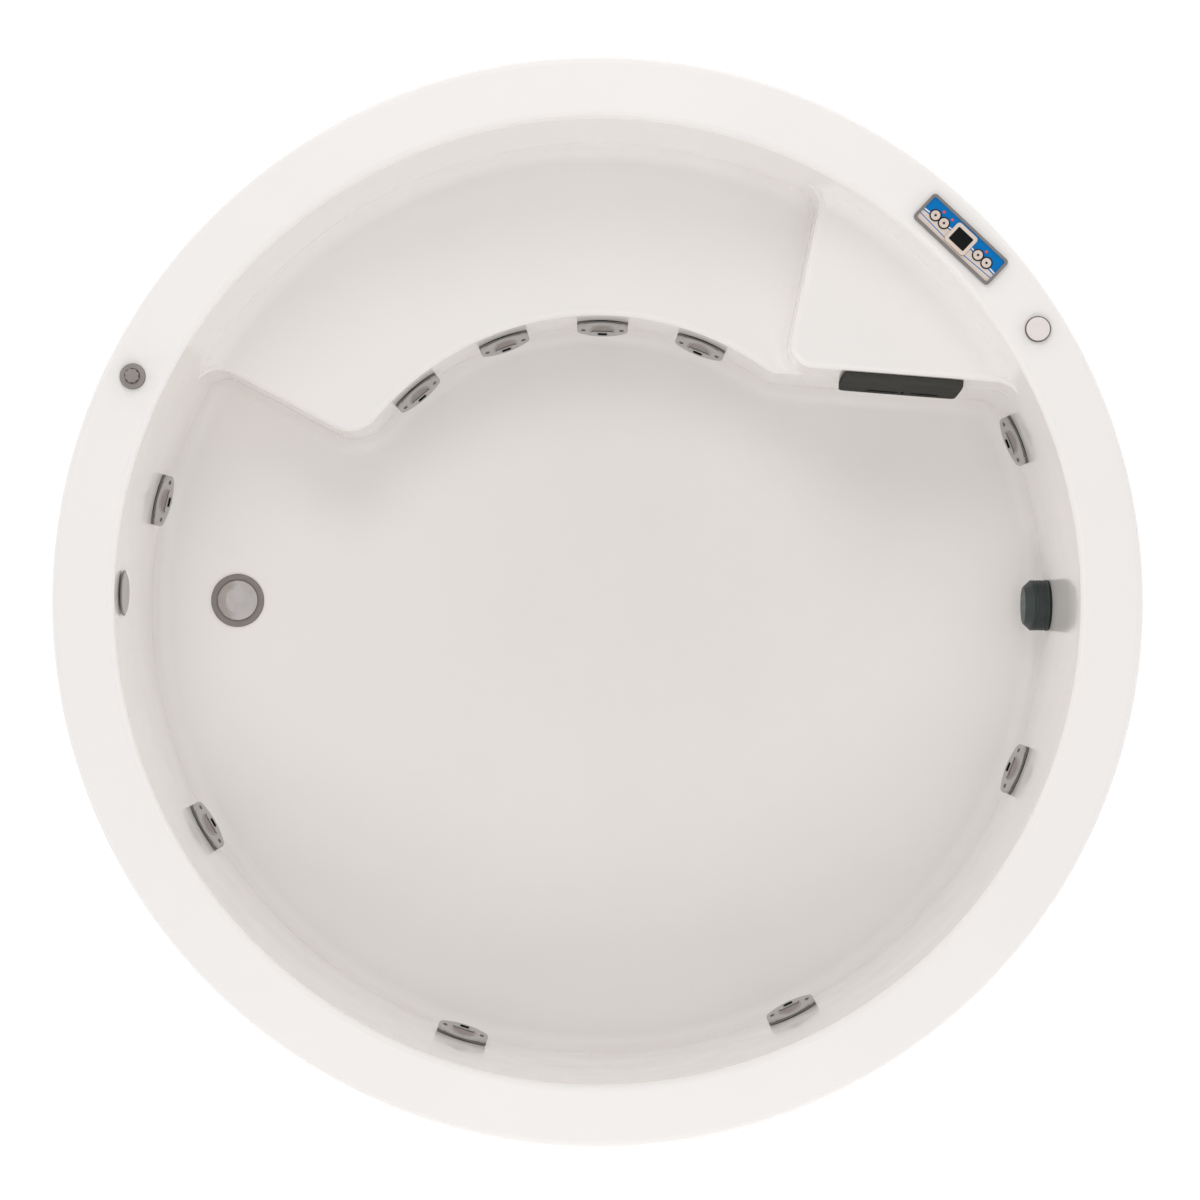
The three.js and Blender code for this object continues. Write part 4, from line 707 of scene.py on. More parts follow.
def hollow(name, outline, foot, lip_level, grow):
    """A hollow raised through levels: coved foot, drafted wall, rounded lip, then spread above the lip."""
    cove = COVE + grow
    lip = STEP_ROUNDING - grow
    cove_steps, lip_steps = INSIDE_STEPS if grow == 0 else OUTSIDE_STEPS
    levels = []
    for step in range(cove_steps + 1):
        turn = step / cove_steps * math.pi / 2
        levels.append((foot + cove * (1 - math.cos(turn)), cove * (1 - math.sin(turn)), 0, 0))
    for step in range(lip_steps + 1):
        turn = step / lip_steps * math.pi / 2
        levels.append((lip_level - grow - lip * (1 - math.sin(turn)), 0, lip * (1 - math.cos(turn)), 0))
    rise = COVE + grow + SPREAD_RISE
    levels.append((lip_level - grow + rise, 0, lip, rise))
    corners = []
    for level, drawn_in, let_out, risen in levels:
        for place, out, (draft, lip_share, cove_share, spread) in outline:
            shift = (grow - (lip_level - level) * math.tan(draft) - drawn_in * cove_share
                     + let_out * lip_share + risen * spread)
            point = place + out * shift
            corners.append((point.x, point.y, level))
    count, total = len(outline), len(corners)
    faces = [tuple(range(count - 1, -1, -1)), tuple(range(total - count, total))]
    for ring in range(0, total - count, count):
        for at in range(count):
            a, b = ring + at, ring + (at + 1) % count
            faces.append((a, b, b + count, a + count))
    mesh = bpy.data.meshes.new(name)
    mesh.from_pydata(corners, [], faces)
    piece = added(bpy.data.objects.new(name, mesh))
    edit(piece)
    return closed_up(piece)


def stepped_hollow(grow):
    footwell = hollow("footwell hollow", footwell_outline(), FLOOR_LEVEL - grow - PAST_FLOOR, SEAT_LEVEL, grow)
    seat = hollow("seat hollow", seat_outline(), SEAT_LEVEL - grow, PLATFORM_LEVEL, grow)
    foot = PLATFORM_LEVEL - grow
    clear = RIM_LEVEL - LIP_DEPTH - UPPER_CLEARANCE
    beyond = 3 * PAST_WALL + grow
    upper = turned("upper hollow", [
        (wall_at(PLATFORM_LEVEL) + beyond, foot, COVE + grow), (wall_at(clear) + beyond, clear), (BEYOND_RIM, clear),
        (BEYOND_RIM, ABOVE_RIM)], ROUND_STEPS, steps=10)
    carve(footwell, seat, "UNION")
    carve(footwell, upper, "UNION")
    return footwell


def bowl_inside():
    mouth_level = RIM_LEVEL + GAP
    mouth = WALL_RADIUS + MOUTH_SPREAD
    return turned("bowl inside", [
        (wall_at(FLOOR_LEVEL), FLOOR_LEVEL, COVE), (wall_at(mouth_level), mouth_level, RIM_MOUTH_ROUNDING),
        (mouth, mouth_level), (mouth, ABOVE_RIM)], ROUND_STEPS, steps=10)


def bowl_outside():
    foot = FLOOR_LEVEL - SHELL_WALL
    under = RIM_LEVEL - SHELL_WALL
    lip_inside = RIM_RADIUS - SHELL_WALL
    lip_foot = RIM_LEVEL - LIP_DEPTH
    return turned("tub_shell_skin", [
        (wall_at(FLOOR_LEVEL) + SHELL_WALL, foot, COVE + SHELL_WALL), (wall_at(under) + SHELL_WALL, under),
        (lip_inside, under, LIP_INNER_ROUNDING), (lip_inside, lip_foot, LIP_FOOT_ROUNDINGS[0]),
        (RIM_RADIUS, lip_foot, LIP_FOOT_ROUNDINGS[1]), (RIM_RADIUS, RIM_LEVEL, RIM_EDGE_ROUNDING)],
        ROUND_STEPS, steps=8)


def placed_bar(radius, low, high, place, segments=48):
    return settle(turned("bore", [(radius, low), (radius, high)], segments), place)


# Jets: the wall that carries them, their level, and in degrees the first one's angle, their pitch and their count
JET_ROWS = {"bench": (bench_front_at, 0.298, 68.4, 20.6, 4), "wall": (wall_at, 0.32, 166.5, 43, 6)}
JETS = [(kind, wall_place(wall(level), (first + pitch * at) * DEGREE, level))
        for kind, (wall, level, first, pitch, count) in JET_ROWS.items() for at in range(count)]
SUCTION_LEVEL = 0.295
SUCTION = wall_place(wall_at(SUCTION_LEVEL), 0, SUCTION_LEVEL)
WASTE_ANGLE = 179 * DEGREE
WASTE_DISTANCE = 0.632
DRAIN = facing(polar(WASTE_DISTANCE, WASTE_ANGLE, FLOOR_LEVEL), UPRIGHT, polar(1, WASTE_ANGLE))
OVERFLOW_LEVEL = 0.575
OVERFLOW = wall_place(wall_at(OVERFLOW_LEVEL), WASTE_ANGLE, OVERFLOW_LEVEL)
AIR_CONTROL = rim_place(0.851, 154.3 * DEGREE, 154.3 * DEGREE)
START_BUTTON = rim_place(0.853, 31.6 * DEGREE, 31.6 * DEGREE)
PANEL = rim_place(0.845, 44.8 * DEGREE, -43.3 * DEGREE)

COVER_LENGTH, COVER_HEIGHT, COVER_DROP, COVER_X = 0.205, 0.18, 0.015, 0.518


def cover_place():
    level = PLATFORM_LEVEL - COVER_DROP - COVER_HEIGHT / 2
    way = PLATFORM_FRONT[1]
    distance = front_distance_at(level)
    along = (COVER_X - distance * math.cos(way)) / math.sin(way)
    return on_drafted_wall(polar(distance, way, level) + polar(along, way - math.pi / 2), way)


COVER = cover_place()

# Holes in the shell: radius, or length and width, then depth, height above the surface and place
BORE_DEPTH, BORE_TOP = 0.03, 0.02
ROUND_BORES = [(0.0236, BORE_DEPTH, place) for kind, place in JETS] + [
    (0.0363, 0.04, SUCTION), (0.0096, BORE_DEPTH, OVERFLOW), (0.0303, BORE_DEPTH, DRAIN),
    (0.0153, BORE_DEPTH, AIR_CONTROL), (0.0153, BORE_DEPTH, START_BUTTON)]
SQUARE_BORES = [(0.1406, 0.0406, BORE_TOP, PANEL), (0.173, 0.148, 0.03, COVER)]


def tub_shell():
    shell = bowl_outside()
    carve(shell, stepped_hollow(SHELL_WALL), "INTERSECT")
    inside = bowl_inside()
    carve(inside, stepped_hollow(0), "INTERSECT")
    carve(shell, inside)
    bores = [placed_bar(radius, -depth, BORE_TOP, place) for radius, depth, place in ROUND_BORES]
    for length, width, top, place in SQUARE_BORES:
        bores.append(settle(plate("bore", rectangle(length, width, 0.004), -BORE_DEPTH, top), place))
    carve(shell, join(bores, "bores"))
    fitted(shell, ACRYLIC, "tub_shell")


tub_shell()


# Board, frame, feet and the round side panels

def swept(name, profile, start, turn, segments):
    """A closed profile of (radius, height, rounding) carried round Z through part of a turn."""
    points = rounded(profile, True, 4)
    line = [polar(point.x, start, point.y) for point in points]
    return spun(drawn_line(name, line, closed=True), segments, turn)


APRON_COUNT, APRON_JOINT, APRON_STEPS = 4, 0.002, 60
BOARD_RADIUS, BOARD_FOOT, BOARD_TOP, BOARD_EDGE = 0.8884, 0.1747, 0.1927, 0.0015
BOARD_HOLES = [(0.044, WASTE_DISTANCE), (0.02, 0.822)]
TUBE_SIDE, TUBE_WALL, TUBE_ROUNDING = 0.04, 0.003, 0.005
FRAME_LEVEL = (0.1344 + 0.1744) / 2
RAIL_X, RAIL_LENGTH = 0.42, 1.24
CROSS_Y, CROSS_LENGTH = 0.43, 0.7994
FOOT_Y = 0.52


def aprons():
    """Round side panels with a foot turned inwards, a quarter each, with narrow joints between them."""
    outside, inside, foot_inside = 0.8927, 0.8887, 0.8707
    low, foot_top, high = 0.012, 0.016, 0.64
    profile = [(foot_inside, low), (outside, low, 0.0025), (outside, high), (inside, high), (inside, foot_top),
               (foot_inside, foot_top)]
    joint = APRON_JOINT / outside
    quarter = FULL_TURN / APRON_COUNT
    for at in range(APRON_COUNT):
        panel = swept(f"apron_panel_{at + 1}", profile, at * quarter + joint / 2, quarter - joint, APRON_STEPS)
        fitted(panel, ACRYLIC, f"apron_{at + 1}")


def base_board():
    board = turned("base_board_sheet", [(BOARD_RADIUS, BOARD_FOOT, BOARD_EDGE), (BOARD_RADIUS, BOARD_TOP, BOARD_EDGE)],
                   180, steps=2)
    holes = [placed_bar(radius, 0.15, 0.22, Matrix.Translation(polar(distance, WASTE_ANGLE)))
             for radius, distance in BOARD_HOLES]
    carve(board, join(holes, "holes"))
    fitted(board, BOARD, "base_board")


def square_tube(name, node, length, place):
    hollow_side = TUBE_SIDE - 2 * TUBE_WALL
    tube = plate(name, rectangle(TUBE_SIDE, TUBE_SIDE, TUBE_ROUNDING), -length / 2, length / 2, 4)
    carve(tube, plate("inside", rectangle(hollow_side, hollow_side, 0.003), -length, length, 3))
    fitted(tube, ZINC, node, place)


def frame_tubes():
    for name, x in (("left", -RAIL_X), ("right", RAIL_X)):
        place = facing(Vector((x, 0, FRAME_LEVEL)), (0, 1, 0), UPRIGHT)
        square_tube(f"rail_{name}", f"frame_rail_{name}", RAIL_LENGTH, place)
    for name, y in (("front", -CROSS_Y), ("middle", 0), ("rear", CROSS_Y)):
        place = facing(Vector((0, y, FRAME_LEVEL)), (1, 0, 0), UPRIGHT)
        square_tube(f"cross_{name}", f"frame_cross_{name}", CROSS_LENGTH, place)


def hexagon(radius):
    return [on_circle(radius, at * math.pi / 3) for at in range(6)]


def feet():
    """Five feet: a rubber pad under a threaded stud with its nut."""
    nut_foot, nut_top, stud_top = 0.1213, 0.1341, 0.1504
    places = [(-RAIL_X, -FOOT_Y), (RAIL_X, -FOOT_Y), (RAIL_X, FOOT_Y), (-RAIL_X, FOOT_Y), (0, 0)]
    for at, (x, y) in enumerate(places):
        pad = turned(f"foot_pad_{at + 1}", [
            (0.035, 0, 0.0015), (0.035, 0.01, 0.003), (0.012, 0.018, 0.004), (0.01, 0.02)], 48)
        stud = turned(f"foot_stud_{at + 1}", [(0.008, 0.0185), (0.008, stud_top, 0.001)], 32)
        nut = plate("nut", hexagon(0.014), nut_foot, nut_top)
        round_edges(nut, 0.001, 2, at_height(nut_top))
        stud = join([stud, nut], f"foot_stud_{at + 1}")
        for piece, finish, slot in ((pad, RUBBER, "rubber"), (stud, ZINC, "zinc_steel")):
            fitted(piece, finish, f"foot_{at + 1}", shifted(x, y))


aprons()
base_board()
frame_tubes()
feet()


# Jets

JET_TILT = 20.5 * DEGREE
JET_EDGE_LIFT = 0.0015
JET_WIDTH = 0.088
JET_MIDDLE = 0.048
JET_END = 0.024
JET_THICKNESS = 0.006
JET_STRAIGHT = JET_THICKNESS * 0.03
JET_BORE_SLACK = 0.0005
JET_BODY_BORE = 0.0232
NOZZLE_RADIUS = 0.0205
NOZZLE_BACK = 0.0015
NOZZLE_FRONT = JET_THICKNESS + 0.001
POCKET_RADIUS = NOZZLE_RADIUS - 0.001
POCKET_DEPTH = 0.003
POCKET_FLOOR = 0.0006
EYE_WIDTH, EYE_HEIGHT, EYE_DROP, EYE_DEPTH = 0.0175, 0.009, 0.012, 0.005
DOT_RADIUS, DOT_X, DOT_Y = 0.0013, 0.0178, -0.0026
SCREW_PLACE = 0.033
RECESS_RADIUS, RECESS_DEPTH = 0.0045, 0.0012
ABOVE = 0.01
JET_SEATS = {"bench": 0.003788, "wall": 0.003951}
JET_FEET = {"bench": 0.0021, "wall": 0.0014}
JET_SET_BACK = 0.004
JET_STAND_OFF = (JET_EDGE_LIFT + JET_MIDDLE / 2 * math.sin(JET_TILT)) / math.cos(JET_TILT) - JET_SET_BACK
JET_FOOT = -JET_STAND_OFF - 0.04


def barrel_outline(width, middle, end, steps=16):
    """A barrel: short straight ends and long sides that bow out."""
    side = []
    for at in range(steps + 1):
        share = 1 - 2 * at / steps
        side.append((share * width / 2, end / 2 + (middle - end) * (1 - share ** 2) / 2))
    outline = side + [(-x, -y) for x, y in side]
    corners = (0, steps, steps + 1, 2 * steps + 1)
    return [(x, y, end / 5 if at in corners else 0) for at, (x, y) in enumerate(outline)]


def domed(name, outline, low, straight, dome, share, steps=6):
    """A flat outline of (x, y, rounding) raised straight, then drawn in over a dome."""
    points = [Vector((point.x, point.y, low)) for point in rounded(outline, True)]
    piece = drawn_line(name, points, closed=True)
    raise_by(straight)
    size = 1
    height = 0
    for at in range(1, steps + 1):
        turn = at / steps * math.pi / 2
        next_size = 1 - (1 - share) * (1 - math.cos(turn))
        next_height = dome * math.sin(turn)
        raise_by(next_height - height)
        bpy.ops.transform.resize(value=(next_size / size, next_size / size, 1), center_override=(0, 0, 0))
        size, height = next_size, next_height
    return closed_up(piece)


def jet_lean(kind):
    """From the wall to the jet's face, which leans back so that its upper edge is close to the wall."""
    return shifted(0, 0, JET_SEATS[kind]) @ Matrix.Rotation(-JET_TILT, 4, "X") @ shifted(0, 0, JET_STAND_OFF)


def slab(low, high):
    """A block wider than a jet, between two levels."""
    return plate("slab", rectangle(0.3, 0.3), low, high)


def jet_face(kind):
    face = domed("jet face", barrel_outline(JET_WIDTH, JET_MIDDLE, JET_END), JET_FOOT, JET_STRAIGHT - JET_FOOT,
                 JET_THICKNESS - JET_STRAIGHT, 0.9)
    carve(face, placed_bar(NOZZLE_RADIUS + JET_BORE_SLACK, -0.1, 0.05, Matrix(), 64))
    floor = JET_THICKNESS - RECESS_DEPTH
    for side in (-1, 1):
        recess = turned("recess", [(0.0036, floor), (0.0044, JET_THICKNESS + 0.001)], 32)
        carve(face, settle(recess, shifted(side * SCREW_PLACE)))

    # Painted shade: the face's side walls and the screw recesses take the darker satin
    def darker(centre, normal):
        in_recess = abs(abs(centre.x) - SCREW_PLACE) < RECESS_RADIUS and abs(centre.y) < RECESS_RADIUS
        return normal.z < 0.2 or (in_recess and centre.z < JET_THICKNESS - 0.0001)

    paint(face, SATIN, SATIN_EDGE_SHADE)
    paint_faces(face, 1, darker)
    settle(face, jet_lean(kind))
    carve(face, slab(JET_FEET[kind] - 0.1, JET_FEET[kind]))
    carve(face, placed_bar(JET_BODY_BORE, -0.05, JET_SEATS[kind], Matrix(), 64))
    return face


def jet_gasket_and_shadow_gap(kind):
    """A thin black gasket between the wall and the jet's face, partly painted shadow of the gap there."""
    gasket = domed("jet gasket and shadow gap", barrel_outline(JET_WIDTH - 0.004, JET_MIDDLE - 0.001, JET_END - 0.002), JET_FOOT,
                   -JET_FOOT, 0.001, 0.999, 1)
    settle(gasket, jet_lean(kind))
    carve(gasket, slab(-0.103, -0.003))
    carve(gasket, slab(JET_FEET[kind], JET_FEET[kind] + 0.1))
    carve(gasket, placed_bar(JET_BODY_BORE, -0.05, 0.05, Matrix(), 64))
    return gasket


def jet_screws(kind):
    """Two cross-slotted screw heads."""
    screws = []
    top = JET_THICKNESS - 0.0004
    for side in (-1, 1):
        head = turned("screw", [(0.0026, top - 0.004), (0.0026, top, 0.0005)], 24)
        for turn in (0, math.pi / 2):
            slot = plate("slot", rectangle(0.0008, 0.0034), top - 0.0008, top + 0.001)
            carve(head, settle(slot, Matrix.Rotation(turn, 4, "Z")))
        screws.append(settle(head, jet_lean(kind) @ shifted(side * SCREW_PLACE)))
    return join(screws, "jet screws")


def half_round(radius, lift=0.0, rounding=0.0, steps=16):
    half = [on_circle(radius, at * math.pi / steps) for at in range(steps + 1)]
    return [(x, y + lift, rounding if at in (0, steps) else 0) for at, (x, y) in enumerate(half)]


def eye_outline(inset, rounding):
    return rectangle(EYE_WIDTH - inset, EYE_HEIGHT - inset, rounding, 0, -EYE_DROP)


def jet_nozzle(kind):
    """A round cap with a half-round pocket above, the eye of the jet below, and a ridge between them."""
    front = NOZZLE_FRONT
    cap = turned("jet nozzle", [(NOZZLE_RADIUS, NOZZLE_BACK, 0.0003), (NOZZLE_RADIUS, front, 0.001)], 72, steps=4)
    groove_y = -EYE_DROP + EYE_HEIGHT / 2 + 0.0018
    for outline, depth, steps in ((half_round(POCKET_RADIUS - 0.0005, 0.0, 0.002), POCKET_DEPTH, 4),
                                  (rectangle(0.026, 0.0012, 0.0005, 0, groove_y), 0.0012, 3),
                                  (eye_outline(0, 0.0035), EYE_DEPTH, 6)):
        carve(cap, plate("pocket", outline, front - depth, front + ABOVE, steps))
    return settle(cap, jet_lean(kind))


def jet_pocket_shade(kind):
    """A darker satin sheet that almost fills the pocket, as painted shade of the pocket."""
    skin = plate("jet pocket shade sheet", half_round(POCKET_RADIUS - 0.0008, 0.0003), NOZZLE_FRONT - POCKET_DEPTH - 0.0002,
                 NOZZLE_FRONT - POCKET_FLOOR)
    return settle(skin, jet_lean(kind))


def jet_eye(kind):
    """The black throat of the jet, the line under the pocket and the two dots at its ends."""
    front = NOZZLE_FRONT
    throat = plate("jet throat", eye_outline(0.0003, 0.0034), front - EYE_DEPTH - 0.0001, front - 0.0008, 6)
    carve(throat, plate("inside", eye_outline(0.003, 0.0022), front - EYE_DEPTH + 0.001, front, 6))
    marks = [plate("line", rectangle(0.0345, 0.0022, 0.0, 0, -0.0013), front - 0.001, front + 0.0001)]
    for side in (-1, 1):
        marks.append(placed_bar(DOT_RADIUS, front - 0.001, front + 0.0002, shifted(side * DOT_X, DOT_Y), 20))
    return settle(join([throat] + marks, "jet throat"), jet_lean(kind))


# Each piece of a jet: how it is made, its finish where it isn't painted yet, its slot, and whether it turns
JET_PIECES = {
    # The gasket's black is partly painted shadow of the gap behind the face
    "face": (jet_face, None, "satin_metal", False), "gasket": (jet_gasket_and_shadow_gap, BLACK, "black_plastic", False),
    # The screw heads take the darker satin as painted shade of their recesses
    "screws": (jet_screws, SATIN_EDGE_SHADE, "zinc_steel", False), "nozzle": (jet_nozzle, SATIN, "satin_metal", True),
    # The pocket sheet takes the shaded satin as painted shade of the pocket
    "pocket_shade": (jet_pocket_shade, SATIN_SHADE, "satin_metal", True), "eye": (jet_eye, BLACK, "black_plastic", True),
}


def jets():
    for kind in JET_SEATS:
        places = {number: place for number, (row, place) in enumerate(JETS, 1) if row == kind}
        for name, (make, finish, slot, turning) in JET_PIECES.items():
            pattern = make(kind)
            if finish:
                paint(pattern, finish)
            smooth(pattern)
            for number, place in places.items():
                piece = settle(copy_of(pattern, f"jet_{name}_{number}_fine"), place)
                stands_for(piece, f"jet_nozzle_{number}" if turning else f"jet_face_{number}",
                           f"nozzle_{number}" if turning else "tub")
            bpy.data.objects.remove(pattern, do_unlink=True)


jets()


# Suction strainer, waste and overflow

SUCTION_SEAT = 0.00425
SUCTION_RADIUS = 0.0435
GROOVE_COUNT, GROOVE_PITCH, GROOVE_WIDTH, GROOVE_RADIUS = 5, 0.0046, 0.0016, 0.0418
OVERFLOW_SEAT = 0.00366


def suction():
    seat, radius = SUCTION_SEAT, SUCTION_RADIUS
    side = seat + 0.029
    front = side + 0.012
    profile = [(0.027, front - 0.004), (0.035, side - 0.004), (0.035, seat), (0.0445, seat, 0.0005),
               (0.0445, seat + 0.0025, 0.0008), (radius, seat + 0.003)]
    for at in range(GROOVE_COUNT):
        low = seat + 0.0045 + at * GROOVE_PITCH
        high = low + GROOVE_WIDTH
        profile += [(radius, low, 0.0003), (GROOVE_RADIUS, low), (GROOVE_RADIUS, high), (radius, high, 0.0003)]
    profile += [(radius, side, 0.001), (0.032, front, 0.0012)]
    cover = turned("suction_cover_fine", profile, 96, steps=3)
    gasket = turned("suction_gasket", [(0.0365, -0.002), (radius, -0.002), (radius, seat), (0.0365, seat)], 64, True)
    for piece, finish, slot in ((cover, GRAPHITE, "dark_plastic"), (gasket, BLACK, "black_plastic")):
        fitted(piece, finish, "suction_cover", SUCTION)


def waste():
    flange = turned("drain_flange_fine", [
        (0.024, -0.024), (0.03, -0.024), (0.03, GAP), (0.0465, GAP), (0.0465, 0.0033, 0.002), (0.037, 0.0033, 0.0005),
        (0.037, 0.0013), (0.024, 0.0013, 0.0008)], 96, True, 4)
    plug = turned("drain_plug_fine", [
        (0.004, -0.0404, 0.0005), (0.004, 0.0016), (0.035, 0.0016, 0.0003), (0.035, 0.0036, 0.0012),
        (0.022, 0.0071, 0.02), (0, 0.0083)], 96)
    carve(plug, placed_bar(0.0022, 0.0, 0.03, shifted(0.014, 0.012, 0.0066), 24))
    fitted(flange, WASTE_RING, "drain_flange", DRAIN)
    fitted(plug, CHROME, "drain_plug", DRAIN, "plug")


def overflow():
    """A thin domed disc on a spindle, with painted shade round its edge."""
    seat, edge = OVERFLOW_SEAT, 0.0352
    front = seat + 0.0085
    knob = turned("overflow_knob_fine", [
        (0.009, -0.007, 0.0005), (0.009, seat), (0.0372, seat, 0.0004), (0.038, seat + 0.001, 0.0004),
        (0.0378, seat + 0.002, 0.0004), (0.0355, seat + 0.0028, 0.0006), (0.03, seat + 0.0055, 0.02),
        (0.017, front - 0.0007, 0.02), (0, front)], 96)
    paint(knob, SATIN, SATIN_EDGE_SHADE)
    # Painted shade: the faces beyond the edge radius take the darker satin
    paint_faces(knob, 1, lambda centre, normal: math.hypot(centre.x, centre.y) > edge)
    fitted(knob, None, "overflow_knob", OVERFLOW, "overflow")


suction()
waste()
overflow()


# Cover on the platform's riser

COVER_BACK, COVER_FRONT, COVER_SKIN, COVER_BOW = 0.0006, 0.0126, 0.004, 0.0015
COVER_SLOTS = [(-0.028, 0.057), (0.046, 0.05)]
COVER_SLOT_Y, COVER_SLOT_HEIGHT = -0.053, 0.016


def bowed_rectangle(length, width, rounding, bow, steps=8):
    """A rectangle whose sides bow out a little, with rounded corners."""
    corners = []
    for at in range(4):
        along, across = (length, width) if at % 2 == 0 else (width, length)
        for step in range(steps):
            share = 2 * step / steps - 1
            point = turned_about_z(share * along / 2, -across / 2 - bow * (1 - share ** 2), at * math.pi / 2)
            corners.append((*point, rounding if step == 0 else 0))
    return corners


def filter_cover():
    """A dished plate with two slots and a latch notch, with black painted shade inside it and on the slots' walls."""
    low, high = COVER_BACK, COVER_FRONT
    length, width = COVER_LENGTH - 2 * COVER_BOW, COVER_HEIGHT - 2 * COVER_BOW
    cover = plate("filter_cover_fine", bowed_rectangle(length, width, 0.012, COVER_BOW), low, high, 8)
    round_edges(cover, 0.003, 5, at_height(high))
    carve(cover, plate("inside", rectangle(length - 2 * COVER_SKIN, width - 2 * COVER_SKIN, 0.009), -0.01,
                       high - COVER_SKIN))
    for middle, slot in COVER_SLOTS:
        outline = rectangle(slot, COVER_SLOT_HEIGHT, 0.00799, middle, COVER_SLOT_Y)
        carve(cover, plate("slot", outline, -0.01, 0.02, 12))
    carve(cover, plate("latch", rectangle(0.005, 0.022, 0.002, 0.008, COVER_SLOT_Y), high - 0.0025, 0.02, 6))

    # Painted shade: the cover's inside and its slots' walls take black so that the slots read dark
    def dark(centre, normal):
        in_slots = abs(centre.y - COVER_SLOT_Y) < 0.012 and abs(centre.x) < 0.08
        return (abs(normal.z) < 0.5 and in_slots) or (normal.z < -0.5 and centre.z > low + 0.001)

    paint(cover, COVER_GREY, BLACK)
    paint_faces(cover, 1, dark)
    fitted(cover, None, "filter_cover", COVER, "cover")


filter_cover()


# Fittings on the rim

KNOB_FLUTES, FLUTE_DEPTH, GRIP_RADIUS, GRIP_TOP = 8, 0.0016, 0.0117, 0.0186
KEYS = (-0.0575, -0.0385, 0.0385, 0.0575)
LAMP_SHIFT, LAMP_Y = 0.0065, 0.0135
PANEL_LENGTH, PANEL_WIDTH = 0.1685, 0.0555
PANEL_TOP, PANEL_FACE, PANEL_EDGE = 0.0073, 0.0057, 0.01
DISPLAY_TOP = 0.0083


def scalloped(radius, flutes, depth, steps=8):
    """A round outline with shallow flutes."""
    outline = []
    for at in range(flutes * steps):
        turn = FULL_TURN * at / (flutes * steps)
        reach = radius - depth * (0.5 - 0.5 * math.cos(flutes * turn)) ** 2
        outline.append(on_circle(reach, turn))
    return outline


def air_control():
    base = turned("air_base", [
        (0.008, -0.058), (0.008, -0.042), (0.015, -0.042), (0.015, GAP), (0.0215, GAP), (0.0215, 0.0033, 0.0012),
        (0.0056, 0.0033, 0.0003), (0.0056, -0.009)], 72)
    knob = turned("air_knob_fine", [
        (0.005, -0.0064), (0.005, 0.0036), (0.0206, 0.0036, 0.0003), (0.0206, 0.0076, 0.0015),
        (0.0128, 0.0092, 0.0005), (0.0124, 0.0078)], 72)
    grip = plate("grip", scalloped(GRIP_RADIUS, KNOB_FLUTES, FLUTE_DEPTH), 0.006, GRIP_TOP)
    round_edges(grip, 0.0012, 3, at_height(GRIP_TOP))
    carve(knob, grip, "UNION")
    paint(knob, AIR_GREY, RING_GREY)
    paint_faces(knob, 1, lambda centre, normal: centre.z < 0.0085 and math.hypot(centre.x, centre.y) < 0.0127)
    fitted(base, RING_GREY, "air_control_base", AIR_CONTROL)
    fitted(knob, None, "air_control_knob", AIR_CONTROL, "air_knob")


def start_button():
    ring = turned("start_ring", [
        (0.015, -0.018), (0.015, GAP), (0.0215, GAP), (0.0215, 0.0063, 0.0012), (0.0198, 0.0063, 0.0004),
        (0.0198, 0.0018), (0.0083, 0.0018), (0.0083, -0.008)], 72)
    cap = turned("start_cap_fine", [
        (0.008, -0.0047), (0.008, 0.0051), (0.0195, 0.0051, 0.0003), (0.0195, 0.0081, 0.001),
        (0.01, 0.0086, 0.01)], 72)
    fitted(ring, RING_GREY, "start_button_ring", START_BUTTON)
    fitted(cap, CAP_WHITE, "start_button_cap", START_BUTTON, "start_button")


def panel_housing():
    """The panel's body: a banded face in a raised frame, with holes for the display and the keys."""
    housing = plate("panel_housing_fine", rectangle(PANEL_LENGTH, PANEL_WIDTH, 0.007), GAP, PANEL_TOP, 8)
    round_edges(housing, 0.002, 4, at_height(PANEL_TOP))
    carve(housing, plate("body", rectangle(0.14, 0.04, 0.004), -0.032, 0.001), "UNION")
    face = rectangle(PANEL_LENGTH - PANEL_EDGE, PANEL_WIDTH - PANEL_EDGE, 0.004)
    carve(housing, plate("recess", face, PANEL_FACE, 0.02, 6))
    carve(housing, plate("display hole", rectangle(0.0451, 0.0401, 0.006), 0.0037, 0.02, 6))
    for x in KEYS:
        carve(housing, placed_bar(0.0083, 0.0017, 0.02, shifted(x), 48))
    paint(housing, GREY, panel_face_finish(PANEL))
    paint_faces(housing, 1, lambda centre, normal: abs(centre.z - PANEL_FACE) < 0.00001 and normal.z > 0.9)
    fitted(housing, None, "panel_housing", PANEL)


def panel_display():
    display = plate("display_frame", rectangle(0.0445, 0.0395, 0.006), 0.004, DISPLAY_TOP, 8)
    round_edges(display, 0.001, 3, at_height(DISPLAY_TOP))
    carve(display, plate("glass hole", rectangle(0.0325, 0.0265, 0.002), 0.0075, 0.02, 5))
    window = plate("display_window", rectangle(0.0323, 0.0263, 0.0019), 0.007, 0.0077, 5)
    fitted(display, KEY_BEIGE, "panel_display", PANEL)
    fitted(window, GLASS_BLACK, "panel_display", PANEL)


